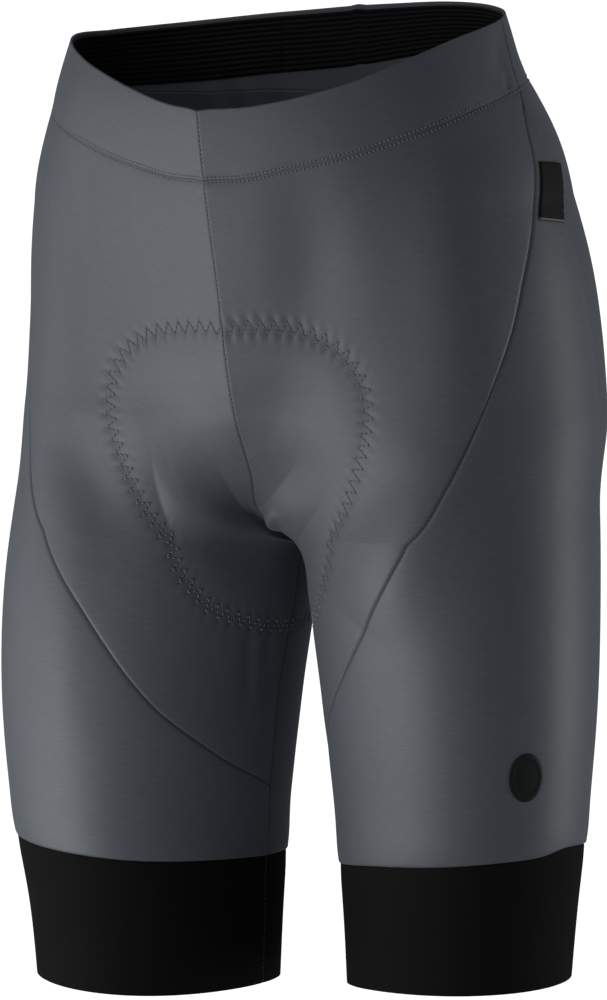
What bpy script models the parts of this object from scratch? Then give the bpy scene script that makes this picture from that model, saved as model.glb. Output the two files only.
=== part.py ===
# Cycling shorts in a women's cut, filled out with no wearer in them.
# Metres, +Z up. The front faces -Y and the wearer's left is +X.
# The origin is the middle of the waist opening, where the shorts are held up.
#
# The cloth follows one smooth form: a torso section blended into two leg sections.
# Each half of it is laid out as a sheet with two coordinates.
# "across" runs from the centre front (0) round the outside to the centre back (1).
# "down" runs from the waist (0) to the hem (1); the leg closes at CROTCH_DOWN.
# Below that level both ends of "across" meet at the inseam.
# Every sewn piece is an outline on that sheet.

import math

import bmesh
import bpy
import numpy as np
from mathutils import Vector
from mathutils.geometry import delaunay_2d_cdt

# Sizes
CLOTH = 0.0012
HEM_CLOTH = 0.0014
ELASTIC = 0.0010
LAYER_GAP = 0.0003
HALF_SEAM_GAP = 0.00015
PAD_EDGE = 0.0015
PAD_CORE = 0.0065
PAD_SLOPE_WIDTH = 0.022
LABEL_WIDTH = 0.018
LABEL_HEIGHT = 0.030
LABEL_THICKNESS = 0.0008
BADGE_HALF_WIDTH = 0.0100
BADGE_HALF_HEIGHT = 0.0138
BADGE_THICKNESS = 0.0008

# Form
TORSO_FLOOR = -0.190
TORSO_DEPTH = 0.066
BLEND = 0.030
LEG_BLEND = 0.006
HEM_LEVEL = -0.5093
HEM_SLOPE = 0.045

# Stance: one leg a little ahead, the waist a little higher on the left, the belly a little to the right
STRIDE = 0.030
STRIDE_TOP = -0.10
STRIDE_END = -0.50
STRIDE_WIDTH = 0.045
ROLL = 0.035
ROLL_BACK = 0.55
ROLL_END = -0.20
LEG_REACH = 0.085
SWAY = -0.0017
SWAY_LEVEL = -0.075
SWAY_HEIGHT = 0.065

# The front seam swings to the right just above the legs: how far, where, and over what size
SWING = -0.0098
SWING_Y = -0.014
SWING_LEVEL = -0.246
SWING_REACH = 0.0170
SWING_WIDTH = 0.0240

# Sheet
CROTCH_DOWN = 0.50
FRONT_SEAM_END = 0.785
SHEET_WIDTH = 0.46
SHEET_LENGTH = 0.53
TABLE_STEPS = 180

# Facet sizes
COARSE = 0.0190
MEDIUM = 0.0110
FINE = 0.0055

TORSO_COLUMNS = ("level", "centre_y", "half_width", "front", "back", "squareness")
TORSO = (
    (0.060, 0.006, 0.105, 0.095, 0.070, 2.10),
    (0.020, 0.006, 0.122, 0.095, 0.073, 2.10),
    (-0.022, 0.005, 0.1370, 0.094, 0.0785, 2.10),
    (-0.065, 0.012, 0.1482, 0.0925, 0.0855, 2.10),
    (-0.107, 0.023, 0.156, 0.094, 0.0885, 2.15),
    (-0.150, 0.032, 0.1545, 0.0945, 0.087, 2.20),
    (-0.190, 0.035, 0.1530, 0.089, 0.082, 2.20),
    (-0.235, 0.029, 0.1520, 0.074, 0.076, 2.20),
    (-0.300, 0.024, 0.150, 0.060, 0.070, 2.20),
)

LEG_COLUMNS = ("level", "x", "y", "long", "short")
LEG_TWIST = math.radians(150)
LEG = (
    (-0.080, 0.0800, 0.0220, 0.0660, 0.0620),
    (-0.140, 0.0840, 0.0260, 0.0745, 0.0715),
    (-0.190, 0.0865, 0.0260, 0.0780, 0.0742),
    (-0.240, 0.0880, 0.0232, 0.0825, 0.0752),
    (-0.290, 0.0888, 0.0200, 0.0850, 0.0740),
    (-0.350, 0.0908, 0.0180, 0.0815, 0.0695),
    (-0.410, 0.0895, 0.0185, 0.0752, 0.0638),
    (-0.470, 0.0848, 0.0215, 0.0673, 0.0588),
    (-0.530, 0.0808, 0.0225, 0.0623, 0.0548),
)

# Waist edge: angle from the centre front in degrees, height
WAIST_EDGE = (
    (0, -0.0250), (12, -0.0228), (25, -0.0165), (40, -0.0073), (57, 0.0035), (76, 0.0130),
    (90, 0.0162), (109, 0.0204), (137, 0.0236), (159, 0.0242), (180, 0.0247),
)

# How far the waist's edge is pulled down into the band: across, down on the right, down on the left
WAIST_PULL = (
    (0.00, 0.0020, 0.0020), (0.05, 0.0020, 0.0030), (0.10, 0.0020, 0.0060), (0.15, 0.0020, 0.0090),
    (0.20, 0.0020, 0.0110), (0.25, 0.0020, 0.0118), (0.30, 0.0014, 0.0100), (0.35, 0.0004, 0.0070),
    (0.41, 0.0002, 0.0042), (0.48, 0.0004, 0.0028), (0.55, 0.0008, 0.0012), (1.00, 0.0008, 0.0008),
)
WAIST_PULL_END = 0.060

# Seam between waistband and panels: across, down
BAND_SEAM = (
    (0.00, 0.067), (0.10, 0.076), (0.22, 0.084), (0.33, 0.082), (0.43, 0.074),
    (0.53, 0.067), (0.75, 0.070), (1.00, 0.072),
)
BAND_SIDE_TOP = 0.56
BAND_SIDE_BOTTOM = 0.53

# Seam from the side of the waistband over the thigh to the inseam: down, across right, across left
SIDE_SEAM = (
    (0.067, 0.530, 0.530), (0.110, 0.490, 0.490), (0.140, 0.475, 0.475), (0.190, 0.447, 0.445),
    (0.245, 0.415, 0.407), (0.290, 0.395, 0.382), (0.335, 0.375, 0.355), (0.400, 0.355, 0.321),
    (0.440, 0.347, 0.306), (0.485, 0.325, 0.290), (0.535, 0.284, 0.255), (0.575, 0.250, 0.224),
    (0.615, 0.218, 0.190), (0.660, 0.180, 0.143), (0.695, 0.145, 0.100), (0.725, 0.105, 0.064),
    (0.755, 0.060, 0.030), (0.785, 0.000, 0.000),
)

# Seam between panel and hem band: across, down on the right, down on the left
HEM_SEAM = (
    (0.00, 0.861, 0.868), (0.08, 0.857, 0.866), (0.18, 0.8535, 0.860), (0.28, 0.850, 0.855),
    (0.36, 0.8475, 0.850), (0.42, 0.846, 0.847), (0.455, 0.8455, 0.842), (0.50, 0.846, 0.844),
    (0.56, 0.8485, 0.850), (0.70, 0.856, 0.860), (0.88, 0.863, 0.870), (1.00, 0.861, 0.868),
)

# Pad outline: across from the front seam or the back seam, down
PAD_FRONT = (
    (0.000, 0.212), (0.040, 0.220), (0.075, 0.232), (0.110, 0.247), (0.145, 0.268), (0.170, 0.290),
    (0.186, 0.316), (0.192, 0.340), (0.190, 0.368), (0.182, 0.398), (0.174, 0.437), (0.166, 0.475),
    (0.155, 0.517), (0.130, 0.553), (0.105, 0.578), (0.070, 0.593), (0.035, 0.603), (0.000, 0.606),
)
PAD_BACK = (
    (0.000, 0.285), (0.050, 0.288), (0.100, 0.300), (0.145, 0.322), (0.175, 0.352), (0.185, 0.388),
    (0.180, 0.425), (0.168, 0.465), (0.152, 0.510), (0.126, 0.550), (0.090, 0.582), (0.045, 0.600),
    (0.000, 0.606),
)

# Elastic inside the waist: across, lower edge on the right, lower edge on the left
ELASTIC_EDGE = (
    (0.40, 0.0580, 0.0450), (0.60, 0.0590, 0.0450), (0.75, 0.0578, 0.0455), (0.88, 0.0543, 0.0465),
    (1.00, 0.0475, 0.0475),
)
ELASTIC_TOP = 0.0035
ELASTIC_START = 0.40
ELASTIC_JOIN = 0.866
ELASTIC_END = 0.50

# Label and badge on the wearer's left: across, down
LABEL_TOP_ACROSS = 0.482
LABEL_TOP_DOWN = 0.139
LABEL_OFFSET = 0.0038
LABEL_TURN = 0.25
BADGE_ACROSS = 0.390
BADGE_DOWN = 0.755

LEFT = 1
RIGHT = -1


# Form of the worn cloth

def curve(rows, column, at):
    """Smooth curve through one column of a table, read at a level."""
    levels = np.array([row[0] for row in rows][::-1])
    values = np.array([row[column] for row in rows][::-1])
    slopes = np.gradient(values, levels)
    at = np.clip(at, levels[0], levels[-1])
    below = np.clip(np.searchsorted(levels, at) - 1, 0, len(levels) - 2)
    step = levels[below + 1] - levels[below]
    u = (at - levels[below]) / step
    start = (2 * u ** 3 - 3 * u ** 2 + 1) * values[below] + (u ** 3 - 2 * u ** 2 + u) * step * slopes[below]
    end = (3 * u ** 2 - 2 * u ** 3) * values[below + 1] + (u ** 3 - u ** 2) * step * slopes[below + 1]
    return start + end


def along(rows, at, column=1):
    """Straight lines through a table with rising first column."""
    return np.interp(at, [row[0] for row in rows], [row[column] for row in rows])


def ease(u):
    u = np.clip(u, 0, 1)
    return u * u * (3 - 2 * u)


def smooth_min(a, b, width):
    near = np.maximum(width - np.abs(a - b), 0) / width
    return np.minimum(a, b) - near * near * width / 4


def torso_field(x, y, z):
    """Below zero inside the torso."""
    half_width = curve(TORSO, 2, z)
    squareness = curve(TORSO, 5, z)
    forward = y - curve(TORSO, 1, z)
    depth = np.where(forward < 0, curve(TORSO, 3, z), curve(TORSO, 4, z))
    reach = (np.abs(x) / half_width) ** squareness + (np.abs(forward) / depth) ** squareness
    reach = reach ** (1 / squareness)
    under = np.maximum(TORSO_FLOOR - z, 0) / TORSO_DEPTH
    return (np.hypot(reach, under) - 1) * np.minimum(half_width, depth)


def leg_field(x, y, z):
    """Below zero inside the left leg."""
    dx = x - curve(LEG, 1, z)
    dy = y - curve(LEG, 2, z)
    short = curve(LEG, 4, z)
    along_long = dx * math.cos(LEG_TWIST) + dy * math.sin(LEG_TWIST)
    along_short = dy * math.cos(LEG_TWIST) - dx * math.sin(LEG_TWIST)
    reach = np.hypot(along_long / curve(LEG, 3, z), along_short / short)
    above = np.maximum(z - LEG[0][0], 0) / 0.06
    return (np.hypot(reach, above) - 1) * short


def field(points):
    x, y, z = points[..., 0], points[..., 1], points[..., 2]
    legs = smooth_min(leg_field(x, y, z), leg_field(-x, y, z), LEG_BLEND)
    return smooth_min(torso_field(x, y, z), legs, BLEND)


def outward(points, step=0.0002):
    """Unit direction out of the form."""
    sides = [field(points + step * axis) - field(points - step * axis) for axis in np.eye(3)]
    way = np.stack(sides, -1)
    return way / np.linalg.norm(way, axis=-1, keepdims=True)


def waist_height(x, y):
    angle = np.degrees(np.arctan2(np.abs(x), 0.009 - y))
    return curve(WAIST_EDGE[::-1], 1, angle)


def stance(points, side):
    """Put a point of the straight left half where the held shorts have it, on either side."""
    x = side * points[..., 0]
    y = points[..., 1]
    z = points[..., 2]
    fall = np.clip((STRIDE_TOP - z) / (STRIDE_TOP - STRIDE_END), 0, 2)
    upper = ease((z - ROLL_END) / -ROLL_END)
    lean = upper * x + (1 - upper) * LEG_REACH * np.tanh(x / STRIDE_WIDTH)
    moved_y = y + STRIDE * fall ** 1.4 * np.tanh(x / STRIDE_WIDTH)
    moved_x = x + SWAY * np.exp(-((z - SWAY_LEVEL) / SWAY_HEIGHT) ** 2)
    moved_z = z + ROLL * lean + upper * ROLL_BACK * x * y
    off_swing = ((y - SWING_Y) ** 2 + (z - SWING_LEVEL) ** 2) / SWING_REACH ** 2 + (x / SWING_WIDTH) ** 2
    moved_x = moved_x + SWING * np.exp(-off_swing / 2)
    return np.stack([moved_x, moved_y, moved_z], -1)


def stance_normal(points, normals, side, step=0.0001):
    """Outward direction after the stance."""
    rows = [(stance(points + step * axis, side) - stance(points - step * axis, side)) / (2 * step)
            for axis in np.eye(3)]
    jacobian = np.stack(rows, -1)
    turned = np.linalg.solve(np.swapaxes(jacobian, -1, -2), normals[..., None])[..., 0]
    return turned / np.linalg.norm(turned, axis=-1, keepdims=True)


def reach_surface(start, way, far=0.35, steps=24):
    """Points where rays from inside one half leave the form or meet the middle plane."""
    inward = way[..., 0] < -1e-9
    wall = np.where(inward, start[..., 0] / np.where(inward, -way[..., 0], 1.0), far)
    low = np.zeros(start.shape[:-1])
    high = np.minimum(far, np.maximum(wall, 0.001))
    for _ in range(steps):
        middle = (low + high) / 2
        inside = field(start + way * middle[..., None]) < 0
        low = np.where(inside, middle, low)
        high = np.where(inside, high, middle)
    return start + way * high[..., None]


def even_points(points, count):
    """The same path with evenly spaced points."""
    steps = np.linalg.norm(np.diff(points, axis=0), axis=1)
    at = np.concatenate([[0], np.cumsum(steps)])
    wanted = np.linspace(0, at[-1], count)
    return np.stack([np.interp(wanted, at, points[:, axis]) for axis in range(3)], -1)


def middle_seams():
    """Centre front and centre back lines, each from the waist to the lowest point between the legs."""
    turn = np.radians(np.linspace(-72, 262, 400))
    way = np.stack([np.zeros(400), -np.cos(turn), -np.sin(turn)], -1)
    start = np.broadcast_to(np.array([0.0, 0.012, -0.160]), way.shape)
    loop = reach_surface(start, way)
    lowest = int(np.argmin(loop[:, 2]))

    def cut(part, level):
        over = int(np.argmax(part[:, 2] > level))
        share = (level - part[over - 1, 2]) / (part[over, 2] - part[over - 1, 2])
        edge = part[over - 1] + share * (part[over] - part[over - 1])
        return np.vstack([part[:over], edge])[::-1]

    return cut(loop[:lowest + 1][::-1], WAIST_EDGE[0][1]), cut(loop[lowest:], WAIST_EDGE[-1][1])


def straight_sheet(steps=TABLE_STEPS, rays=240):
    """Points of the left half before the stance, by row down and column across."""
    front, back = middle_seams()
    crotch = front[-1]
    close = int(round(CROTCH_DOWN * steps))
    front = even_points(front, close + 1)
    back = even_points(back, close + 1)
    thigh_level = crotch[2] + 0.012
    starts = np.zeros((steps + 1, rays, 3))
    ways = np.zeros((steps + 1, rays, 3))
    for row in range(steps + 1):
        if row <= close:
            share = row / close
            centre_x = 0.045 + (0.088 - 0.045) * ease(share)
            centre_y = 0.006 + (0.022 - 0.006) * ease(share)
            centre = np.array([centre_x, centre_y, share * thigh_level])
            to_front = front[row] - centre
            to_back = back[row] - centre
            first = math.atan2(to_front[1], to_front[0])
            last = math.atan2(to_back[1], to_back[0])
            if first > 0:
                first -= 2 * math.pi
            if last <= 0:
                last += 2 * math.pi
            turn = np.linspace(first, last, rays)
            level = np.stack([np.cos(turn), np.sin(turn), 0 * turn], -1)
            hit = reach_surface(np.broadcast_to(centre, level.shape), level, steps=14)
            far = np.hypot(hit[:, 0] - centre[0], hit[:, 1] - centre[1])
            far[:3] = far[3]
            far[-3:] = far[-4]
            slope = (1 - ease(share)) * waist_height(hit[:, 0], hit[:, 1]) / far
            front_slope = to_front[2] / np.hypot(to_front[0], to_front[1]) - slope[0]
            back_slope = to_back[2] / np.hypot(to_back[0], to_back[1]) - slope[-1]
        else:
            share = (row - close) / (steps - close)
            level_z = thigh_level + (HEM_LEVEL - thigh_level) * share
            centre = np.array([curve(LEG, 1, level_z), curve(LEG, 2, level_z), level_z])
            keep = (1 - min(1, share / 0.5)) ** 2
            to_crotch = crotch - np.array([0.088, 0.022, thigh_level])
            yaw = math.atan2(to_crotch[1], to_crotch[0]) % (2 * math.pi)
            first = math.pi + (yaw - math.pi) * keep - 2 * math.pi
            turn = np.linspace(first, first + 2 * math.pi, rays)
            slope = HEM_SLOPE * share * np.cos(turn)
            front_slope = to_crotch[2] / np.hypot(to_crotch[0], to_crotch[1]) * keep
            back_slope = front_slope
        u = np.linspace(0, 1, rays)
        slope = slope + np.clip(1 - 2 * u, 0, 1) ** 2 * front_slope
        slope = slope + np.clip(2 * u - 1, 0, 1) ** 2 * back_slope
        way = np.stack([np.cos(turn), np.sin(turn), slope], -1)
        ways[row] = way / np.linalg.norm(way, axis=-1, keepdims=True)
        starts[row] = centre
    hits = reach_surface(starts, ways)
    sheet = np.stack([even_points(row, steps + 1) for row in hits])
    sheet[:close + 1, 0] = front
    sheet[:close + 1, -1] = back
    sheet[close + 1:, -1] = sheet[close + 1:, 0]
    return sheet


STRAIGHT = straight_sheet()
STRAIGHT_OUT = outward(STRAIGHT)
SHEETS = {side: stance(STRAIGHT, side) for side in (LEFT, RIGHT)}
SHEETS_OUT = {side: stance_normal(STRAIGHT, STRAIGHT_OUT, side) for side in (LEFT, RIGHT)}


def read_table(table, across, down):
    column = np.clip(np.asarray(across, float) * TABLE_STEPS, 0, TABLE_STEPS)
    row = np.clip(np.asarray(down, float) * TABLE_STEPS, 0, TABLE_STEPS)
    i = np.minimum(row.astype(int), TABLE_STEPS - 1)
    j = np.minimum(column.astype(int), TABLE_STEPS - 1)
    v = (row - i)[..., None]
    u = (column - j)[..., None]
    upper = table[i, j] * (1 - u) + table[i, j + 1] * u
    lower = table[i + 1, j] * (1 - u) + table[i + 1, j + 1] * u
    return upper * (1 - v) + lower * v


def pulled(side, across, down):
    """Row of the straight sheet for a row of the worn one, whose waist edge is pulled down in front."""
    pull = curve(WAIST_PULL[::-1], 2 if side == LEFT else 1, across)
    return down + pull * (1 - ease(down / WAIST_PULL_END))


def place(side, across, down):
    """Points on the outer face of the cloth and their outward directions."""
    down = pulled(side, across, down)
    points = read_table(SHEETS[side], across, down)
    out = read_table(SHEETS_OUT[side], across, down)
    return points, out / np.linalg.norm(out, axis=-1, keepdims=True)


# Outlines on the sheet

def facet_size(across, down):
    from_middle = min(across, 1 - across) * SHEET_WIDTH
    from_crotch = math.hypot(from_middle, (down - CROTCH_DOWN) * SHEET_LENGTH)
    if from_crotch < 0.018:
        return FINE
    if from_middle < 0.098 and 0.20 < down < 0.62:
        return MEDIUM
    return COARSE


def spaced(path):
    """Points along a path on the sheet, closer together where the facets are finer."""
    path = np.array(path, float)
    dense = [path[0]]
    for a, b in zip(path[:-1], path[1:]):
        length = math.hypot((b[0] - a[0]) * SHEET_WIDTH, (b[1] - a[1]) * SHEET_LENGTH)
        count = max(1, int(math.ceil(length / 0.001)))
        dense += [a + (b - a) * k / count for k in range(1, count + 1)]
    dense = np.array(dense)
    middles = (dense[1:] + dense[:-1]) / 2
    lengths = np.hypot(*(np.diff(dense, axis=0) * (SHEET_WIDTH, SHEET_LENGTH)).T)
    weights = lengths / np.array([facet_size(a, d) for a, d in middles])
    at = np.concatenate([[0], np.cumsum(weights)])
    count = max(1, int(round(at[-1])))
    wanted = np.linspace(0, at[-1], count + 1)
    return [(float(np.interp(w, at, dense[:, 0])), float(np.interp(w, at, dense[:, 1]))) for w in wanted]


def joined(*paths):
    """Paths end to end, each shared point once."""
    whole = list(paths[0])
    for path in paths[1:]:
        whole += list(path[1:])
    return whole


def middle_line(across, *levels):
    return joined(*[spaced([(across, a), (across, b)]) for a, b in zip(levels[:-1], levels[1:])])


BAND_STEPS_FRONT = 15
BAND_STEPS_BACK = 16
ELASTIC_STEPS_RIGHT = 13
ELASTIC_STEPS_MIDDLE = 4
ELASTIC_STEPS_LEFT = 14


def band_shares(count):
    return [k / count for k in range(count + 1)]


def band_side(share_down):
    """Where the waistband's side seam lies at a share of the band's height."""
    return BAND_SIDE_TOP + (BAND_SIDE_BOTTOM - BAND_SIDE_TOP) * share_down


def band_front_across(u, share_down=1.0):
    return u * band_side(share_down)


def band_back_across(u, share_down=1.0):
    start = band_side(share_down)
    return start + u * (1 - start)


def waist_seam_front():
    edge = [band_front_across(u) for u in band_shares(BAND_STEPS_FRONT)]
    return [(across, float(along(BAND_SEAM, across))) for across in edge]


def waist_seam_back():
    edge = [band_back_across(u) for u in band_shares(BAND_STEPS_BACK)]
    return [(across, float(along(BAND_SEAM, across))) for across in edge]


def side_seam(side):
    column = 2 if side == LEFT else 1
    path = [(row[column], row[0]) for row in SIDE_SEAM]
    return spaced(path)


HEM_STEPS = 26


def hem_level(side, across):
    return float(along(HEM_SEAM, across, 2 if side == LEFT else 1))


def hem_seam(side):
    return [(k / HEM_STEPS, hem_level(side, k / HEM_STEPS)) for k in range(HEM_STEPS + 1)]


def pad_front_line():
    return spaced(PAD_FRONT)


def pad_back_line():
    return spaced([(1 - a, d) for a, d in PAD_BACK])


def front_outline(side):
    waist = waist_seam_front()
    inseam = middle_line(0.0, CROTCH_DOWN, PAD_FRONT[-1][1], FRONT_SEAM_END)
    centre = middle_line(0.0, waist[0][1], PAD_FRONT[0][1], CROTCH_DOWN)
    return joined(waist, side_seam(side), inseam[::-1], centre[::-1])[:-1]


def back_outline(side):
    waist = waist_seam_back()
    hem = hem_seam(side)
    centre = middle_line(1.0, waist[-1][1], PAD_BACK[0][1], CROTCH_DOWN)
    inseam = middle_line(1.0, CROTCH_DOWN, PAD_BACK[-1][1], FRONT_SEAM_END, hem[-1][1])
    inseam_front = middle_line(0.0, FRONT_SEAM_END, hem[0][1])
    return joined(waist, centre, inseam, hem[::-1], inseam_front[::-1], side_seam(side)[::-1])[:-1]


# Triangles on the sheet

def flat(across, down):
    return np.array([across * SHEET_WIDTH, down * SHEET_LENGTH])


def inside_outline(points, outline):
    """Even-odd test of many points against one outline."""
    x, y = points[:, 0], points[:, 1]
    inside = np.zeros(len(points), bool)
    for (ax, ay), (bx, by) in zip(outline, np.roll(outline, -1, axis=0)):
        crosses = (ay > y) != (by > y)
        rise = by - ay if by != ay else 1e-12
        inside ^= crosses & (x < (bx - ax) * (y - ay) / rise + ax)
    return inside


def lattice(size):
    rows = int(SHEET_LENGTH / (size * 0.866)) + 2
    columns = int(SHEET_WIDTH / size) + 2
    points = []
    for row in range(rows):
        for column in range(columns):
            points.append((column * size + (size / 2 if row % 2 else 0), row * size * 0.866))
    return np.array(points)


def fill_points(outline, line):
    """Inner points at the wanted facet size, clear of the outline and of the pad's line."""
    kept = [tuple(p) for p in outline] + [tuple(p) for p in line]
    first_inner = len(kept)
    for size in (FINE, MEDIUM, COARSE):
        points = lattice(size)
        points = points[inside_outline(points, outline)]
        for point in points:
            across = point[0] / SHEET_WIDTH
            down = point[1] / SHEET_LENGTH
            if facet_size(across, down) != size:
                continue
            near = np.array(kept) - point
            if np.min(np.hypot(near[:, 0], near[:, 1])) > 0.62 * size:
                kept.append(tuple(point))
    return kept[first_inner:]


def triangulate(outline, line):
    """Triangles inside an outline, with the pad's line kept as edges.

    Returns the points as (across, down), the triangles and the boundary's point numbers.
    """
    border = np.array([flat(a, d) for a, d in outline])
    inner_line = [flat(a, d) for a, d in line[1:-1]]
    fill = fill_points(border, inner_line)
    points = [Vector(p) for p in border] + [Vector(p) for p in inner_line] + [Vector(p) for p in fill]
    count = len(border)
    path = [outline.index(line[0])] + list(range(count, count + len(inner_line)))
    path.append(outline.index(line[-1]))
    edges = list(zip(path[:-1], path[1:]))
    result = delaunay_2d_cdt(points, edges, [list(range(count))], 1, 1e-7)
    flat_points, faces, origins = result[0], result[2], result[3]
    sheet_points = []
    number_of = {}
    for number, (point, origin) in enumerate(zip(flat_points, origins)):
        source = min(origin) if len(origin) else None
        if source is not None and source < count:
            sheet_points.append(outline[source])
            number_of[source] = number
        elif source is not None and source < count + len(inner_line):
            sheet_points.append(line[source - count + 1])
        else:
            sheet_points.append((point.x / SHEET_WIDTH, point.y / SHEET_LENGTH))
    loop = [number_of[k] for k in range(count)]
    return sheet_points, [tuple(face) for face in faces], loop


# Solids

def shifted_inward(points, out, loop, turn):
    """Move each boundary point half a seam gap into its own piece."""
    moved = points.copy()
    ring = points[loop]
    before = np.roll(ring, 1, axis=0)
    after = np.roll(ring, -1, axis=0)
    normals = out[loop]

    def inward(edge):
        way = turn * np.cross(normals, edge)
        return way / np.linalg.norm(way, axis=1, keepdims=True)

    first = inward(ring - before)
    second = inward(after - ring)
    together = 1 + np.sum(first * second, axis=1, keepdims=True)
    moved[loop] = ring + HALF_SEAM_GAP * (first + second) / np.maximum(together, 0.35)
    return moved


def closed_solid(name, outer, inner, triangles, loop, material):
    """One closed body between two layers of the same triangles."""
    count = len(outer)
    mesh = bpy.data.meshes.new(name)
    build = bmesh.new()
    vertices = [build.verts.new(p) for p in np.vstack([outer, inner])]
    for a, b, c in triangles:
        build.faces.new((vertices[a], vertices[b], vertices[c]))
        build.faces.new((vertices[c + count], vertices[b + count], vertices[a + count]))
    for a, b in zip(loop, loop[1:] + loop[:1]):
        build.faces.new((vertices[a], vertices[b], vertices[b + count]))
        build.faces.new((vertices[a], vertices[b + count], vertices[a + count]))
    bmesh.ops.recalc_face_normals(build, faces=build.faces)
    if build.calc_volume(signed=True) < 0:
        bmesh.ops.reverse_faces(build, faces=build.faces)
    build.to_mesh(mesh)
    build.free()
    mesh.materials.append(material)
    mesh.shade_smooth()
    mesh.set_sharp_from_angle(angle=math.radians(50))
    piece = bpy.data.objects.new(name, mesh)
    bpy.context.scene.collection.objects.link(piece)
    return piece


def loop_turn(side, sheet_points, loop):
    """Which way round a boundary runs, seen from outside."""
    ring = np.array([sheet_points[k] for k in loop])
    after = np.roll(ring, -1, axis=0)
    area = np.sum(ring[:, 0] * after[:, 1] - after[:, 0] * ring[:, 1])
    return -side * math.copysign(1, area)


def panel(name, side, outline, line, material):
    """A cloth panel, and the part of its triangles that lies within the pad's line."""
    sheet_points, triangles, loop = triangulate(outline, line)
    across = np.array([p[0] for p in sheet_points])
    down = np.array([p[1] for p in sheet_points])
    points, out = place(side, across, down)
    outer = shifted_inward(points, out, loop, loop_turn(side, sheet_points, loop))
    inner = outer - CLOTH * out
    closed_solid(name, outer, inner, triangles, loop, material)
    return sheet_points, triangles


def grid_solid(name, points, out, near, far, material, turn):
    """A solid over a grid of points, between two distances out from them."""
    rows, columns = points.shape[:2]
    triangles = []
    for row in range(rows - 1):
        for column in range(columns - 1):
            a = row * columns + column
            b, c, d = a + 1, a + columns + 1, a + columns
            triangles += [(a, b, c), (a, c, d)]
    top = list(range(columns))
    right = [row * columns + columns - 1 for row in range(1, rows)]
    bottom = [(rows - 1) * columns + column for column in range(columns - 2, -1, -1)]
    left = [row * columns for row in range(rows - 2, 0, -1)]
    loop = top + right + bottom + left
    flat_points = points.reshape(-1, 3)
    flat_out = out.reshape(-1, 3)
    moved = shifted_inward(flat_points, flat_out, loop, turn)
    return closed_solid(name, moved + far * flat_out, moved + near * flat_out, triangles, loop, material)


def grid_places(columns, rows, cell):
    """Points and directions of a grid whose cells are (side, across, down)."""
    points = np.zeros((len(rows), len(columns), 3))
    out = np.zeros((len(rows), len(columns), 3))
    for i, row in enumerate(rows):
        for j, column in enumerate(columns):
            side, across, down = cell(column, row)
            points[i, j], out[i, j] = place(side, across, down)
    return points, out


# Materials

def surface(name, colour, roughness, metallic=0.0):
    material = bpy.data.materials.new(name)
    material.use_nodes = True
    shader = material.node_tree.nodes["Principled BSDF"]
    shader.inputs["Base Color"].default_value = (*colour, 1.0)
    shader.inputs["Roughness"].default_value = roughness
    shader.inputs["Metallic"].default_value = metallic
    return material


def grey_jersey():
    return surface("grey_jersey", (0.085, 0.095, 0.110), 0.55)


def black_knit():
    return surface("black_knit", (0.012, 0.012, 0.013), 0.80)


def black_elastic():
    return surface("black_elastic", (0.006, 0.006, 0.007), 0.85)


def pad_fabric():
    return surface("pad_fabric", (0.020, 0.021, 0.023), 0.85)


def badge_rubber():
    return surface("badge_rubber", (0.010, 0.010, 0.011), 0.60)


def label_weave():
    return surface("label_weave", (0.008, 0.008, 0.009), 0.70)


# Sewn pieces

def front_band(name, side, material):
    def cell(u, v):
        across = band_front_across(u, v)
        return side, across, v * float(along(BAND_SEAM, across))

    points, out = grid_places(band_shares(BAND_STEPS_FRONT), band_shares(4), cell)
    return grid_solid(name, points, out, -CLOTH, 0.0, material, -side)


def back_columns():
    """Side and share for each column across the back, from the right side seam to the left one."""
    right = [(RIGHT, u) for u in band_shares(BAND_STEPS_BACK)]
    left = [(LEFT, u) for u in band_shares(BAND_STEPS_BACK)][::-1]
    return right + left[1:]


def back_cell(column, v):
    side, u = column
    across = band_back_across(u, v)
    return side, across, v * float(along(BAND_SEAM, across))


def back_band(name, material):
    points, out = grid_places(back_columns(), band_shares(4), back_cell)
    return grid_solid(name, points, out, -CLOTH, 0.0, material, 1)


def elastic_columns(side, start, end, count):
    return [(side, start + (end - start) * share) for share in band_shares(count)]


def back_elastic(name, columns, material):
    def cell(column, v):
        side, across = column
        edge = float(along(ELASTIC_EDGE, across, 2 if side == LEFT else 1))
        return side, across, ELASTIC_TOP + (edge - ELASTIC_TOP) * v

    points, out = grid_places(columns, band_shares(3), cell)
    near = -CLOTH - LAYER_GAP - ELASTIC
    far = -CLOTH - LAYER_GAP
    return grid_solid(name, points, out, near, far, material, 1)


def hem_band(name, side, material):
    def cell(k, v):
        across = k / HEM_STEPS
        seam = hem_level(side, across)
        return side, across, seam + (1 - seam) * v

    points, out = grid_places(range(HEM_STEPS + 1), band_shares(5), cell)
    return grid_solid(name, points, out, -HEM_CLOTH, 0.0, material, -side)


def local_scale(side, across, down):
    """Metres per unit of across and of down, at one place."""
    step = 0.01
    left, _ = place(side, across - step, down)
    right, _ = place(side, across + step, down)
    above, _ = place(side, across, down - step)
    below, _ = place(side, across, down + step)
    return np.linalg.norm(right - left) / (2 * step), np.linalg.norm(below - above) / (2 * step)


def side_label(name, material):
    wide, high = local_scale(LEFT, LABEL_TOP_ACROSS, LABEL_TOP_DOWN + 0.02)

    def cell(u, v):
        seam_down = LABEL_TOP_DOWN + v * LABEL_HEIGHT / high
        seam = float(along(SIDE_SEAM, seam_down, 2))
        across = seam + (LABEL_OFFSET + u * LABEL_WIDTH) / wide
        down = seam_down + u * LABEL_TURN * LABEL_WIDTH / high
        return LEFT, across, down

    points, out = grid_places(band_shares(3), band_shares(6), cell)
    return grid_solid(name, points, out, LAYER_GAP, LAYER_GAP + LABEL_THICKNESS, material, -LEFT)


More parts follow.
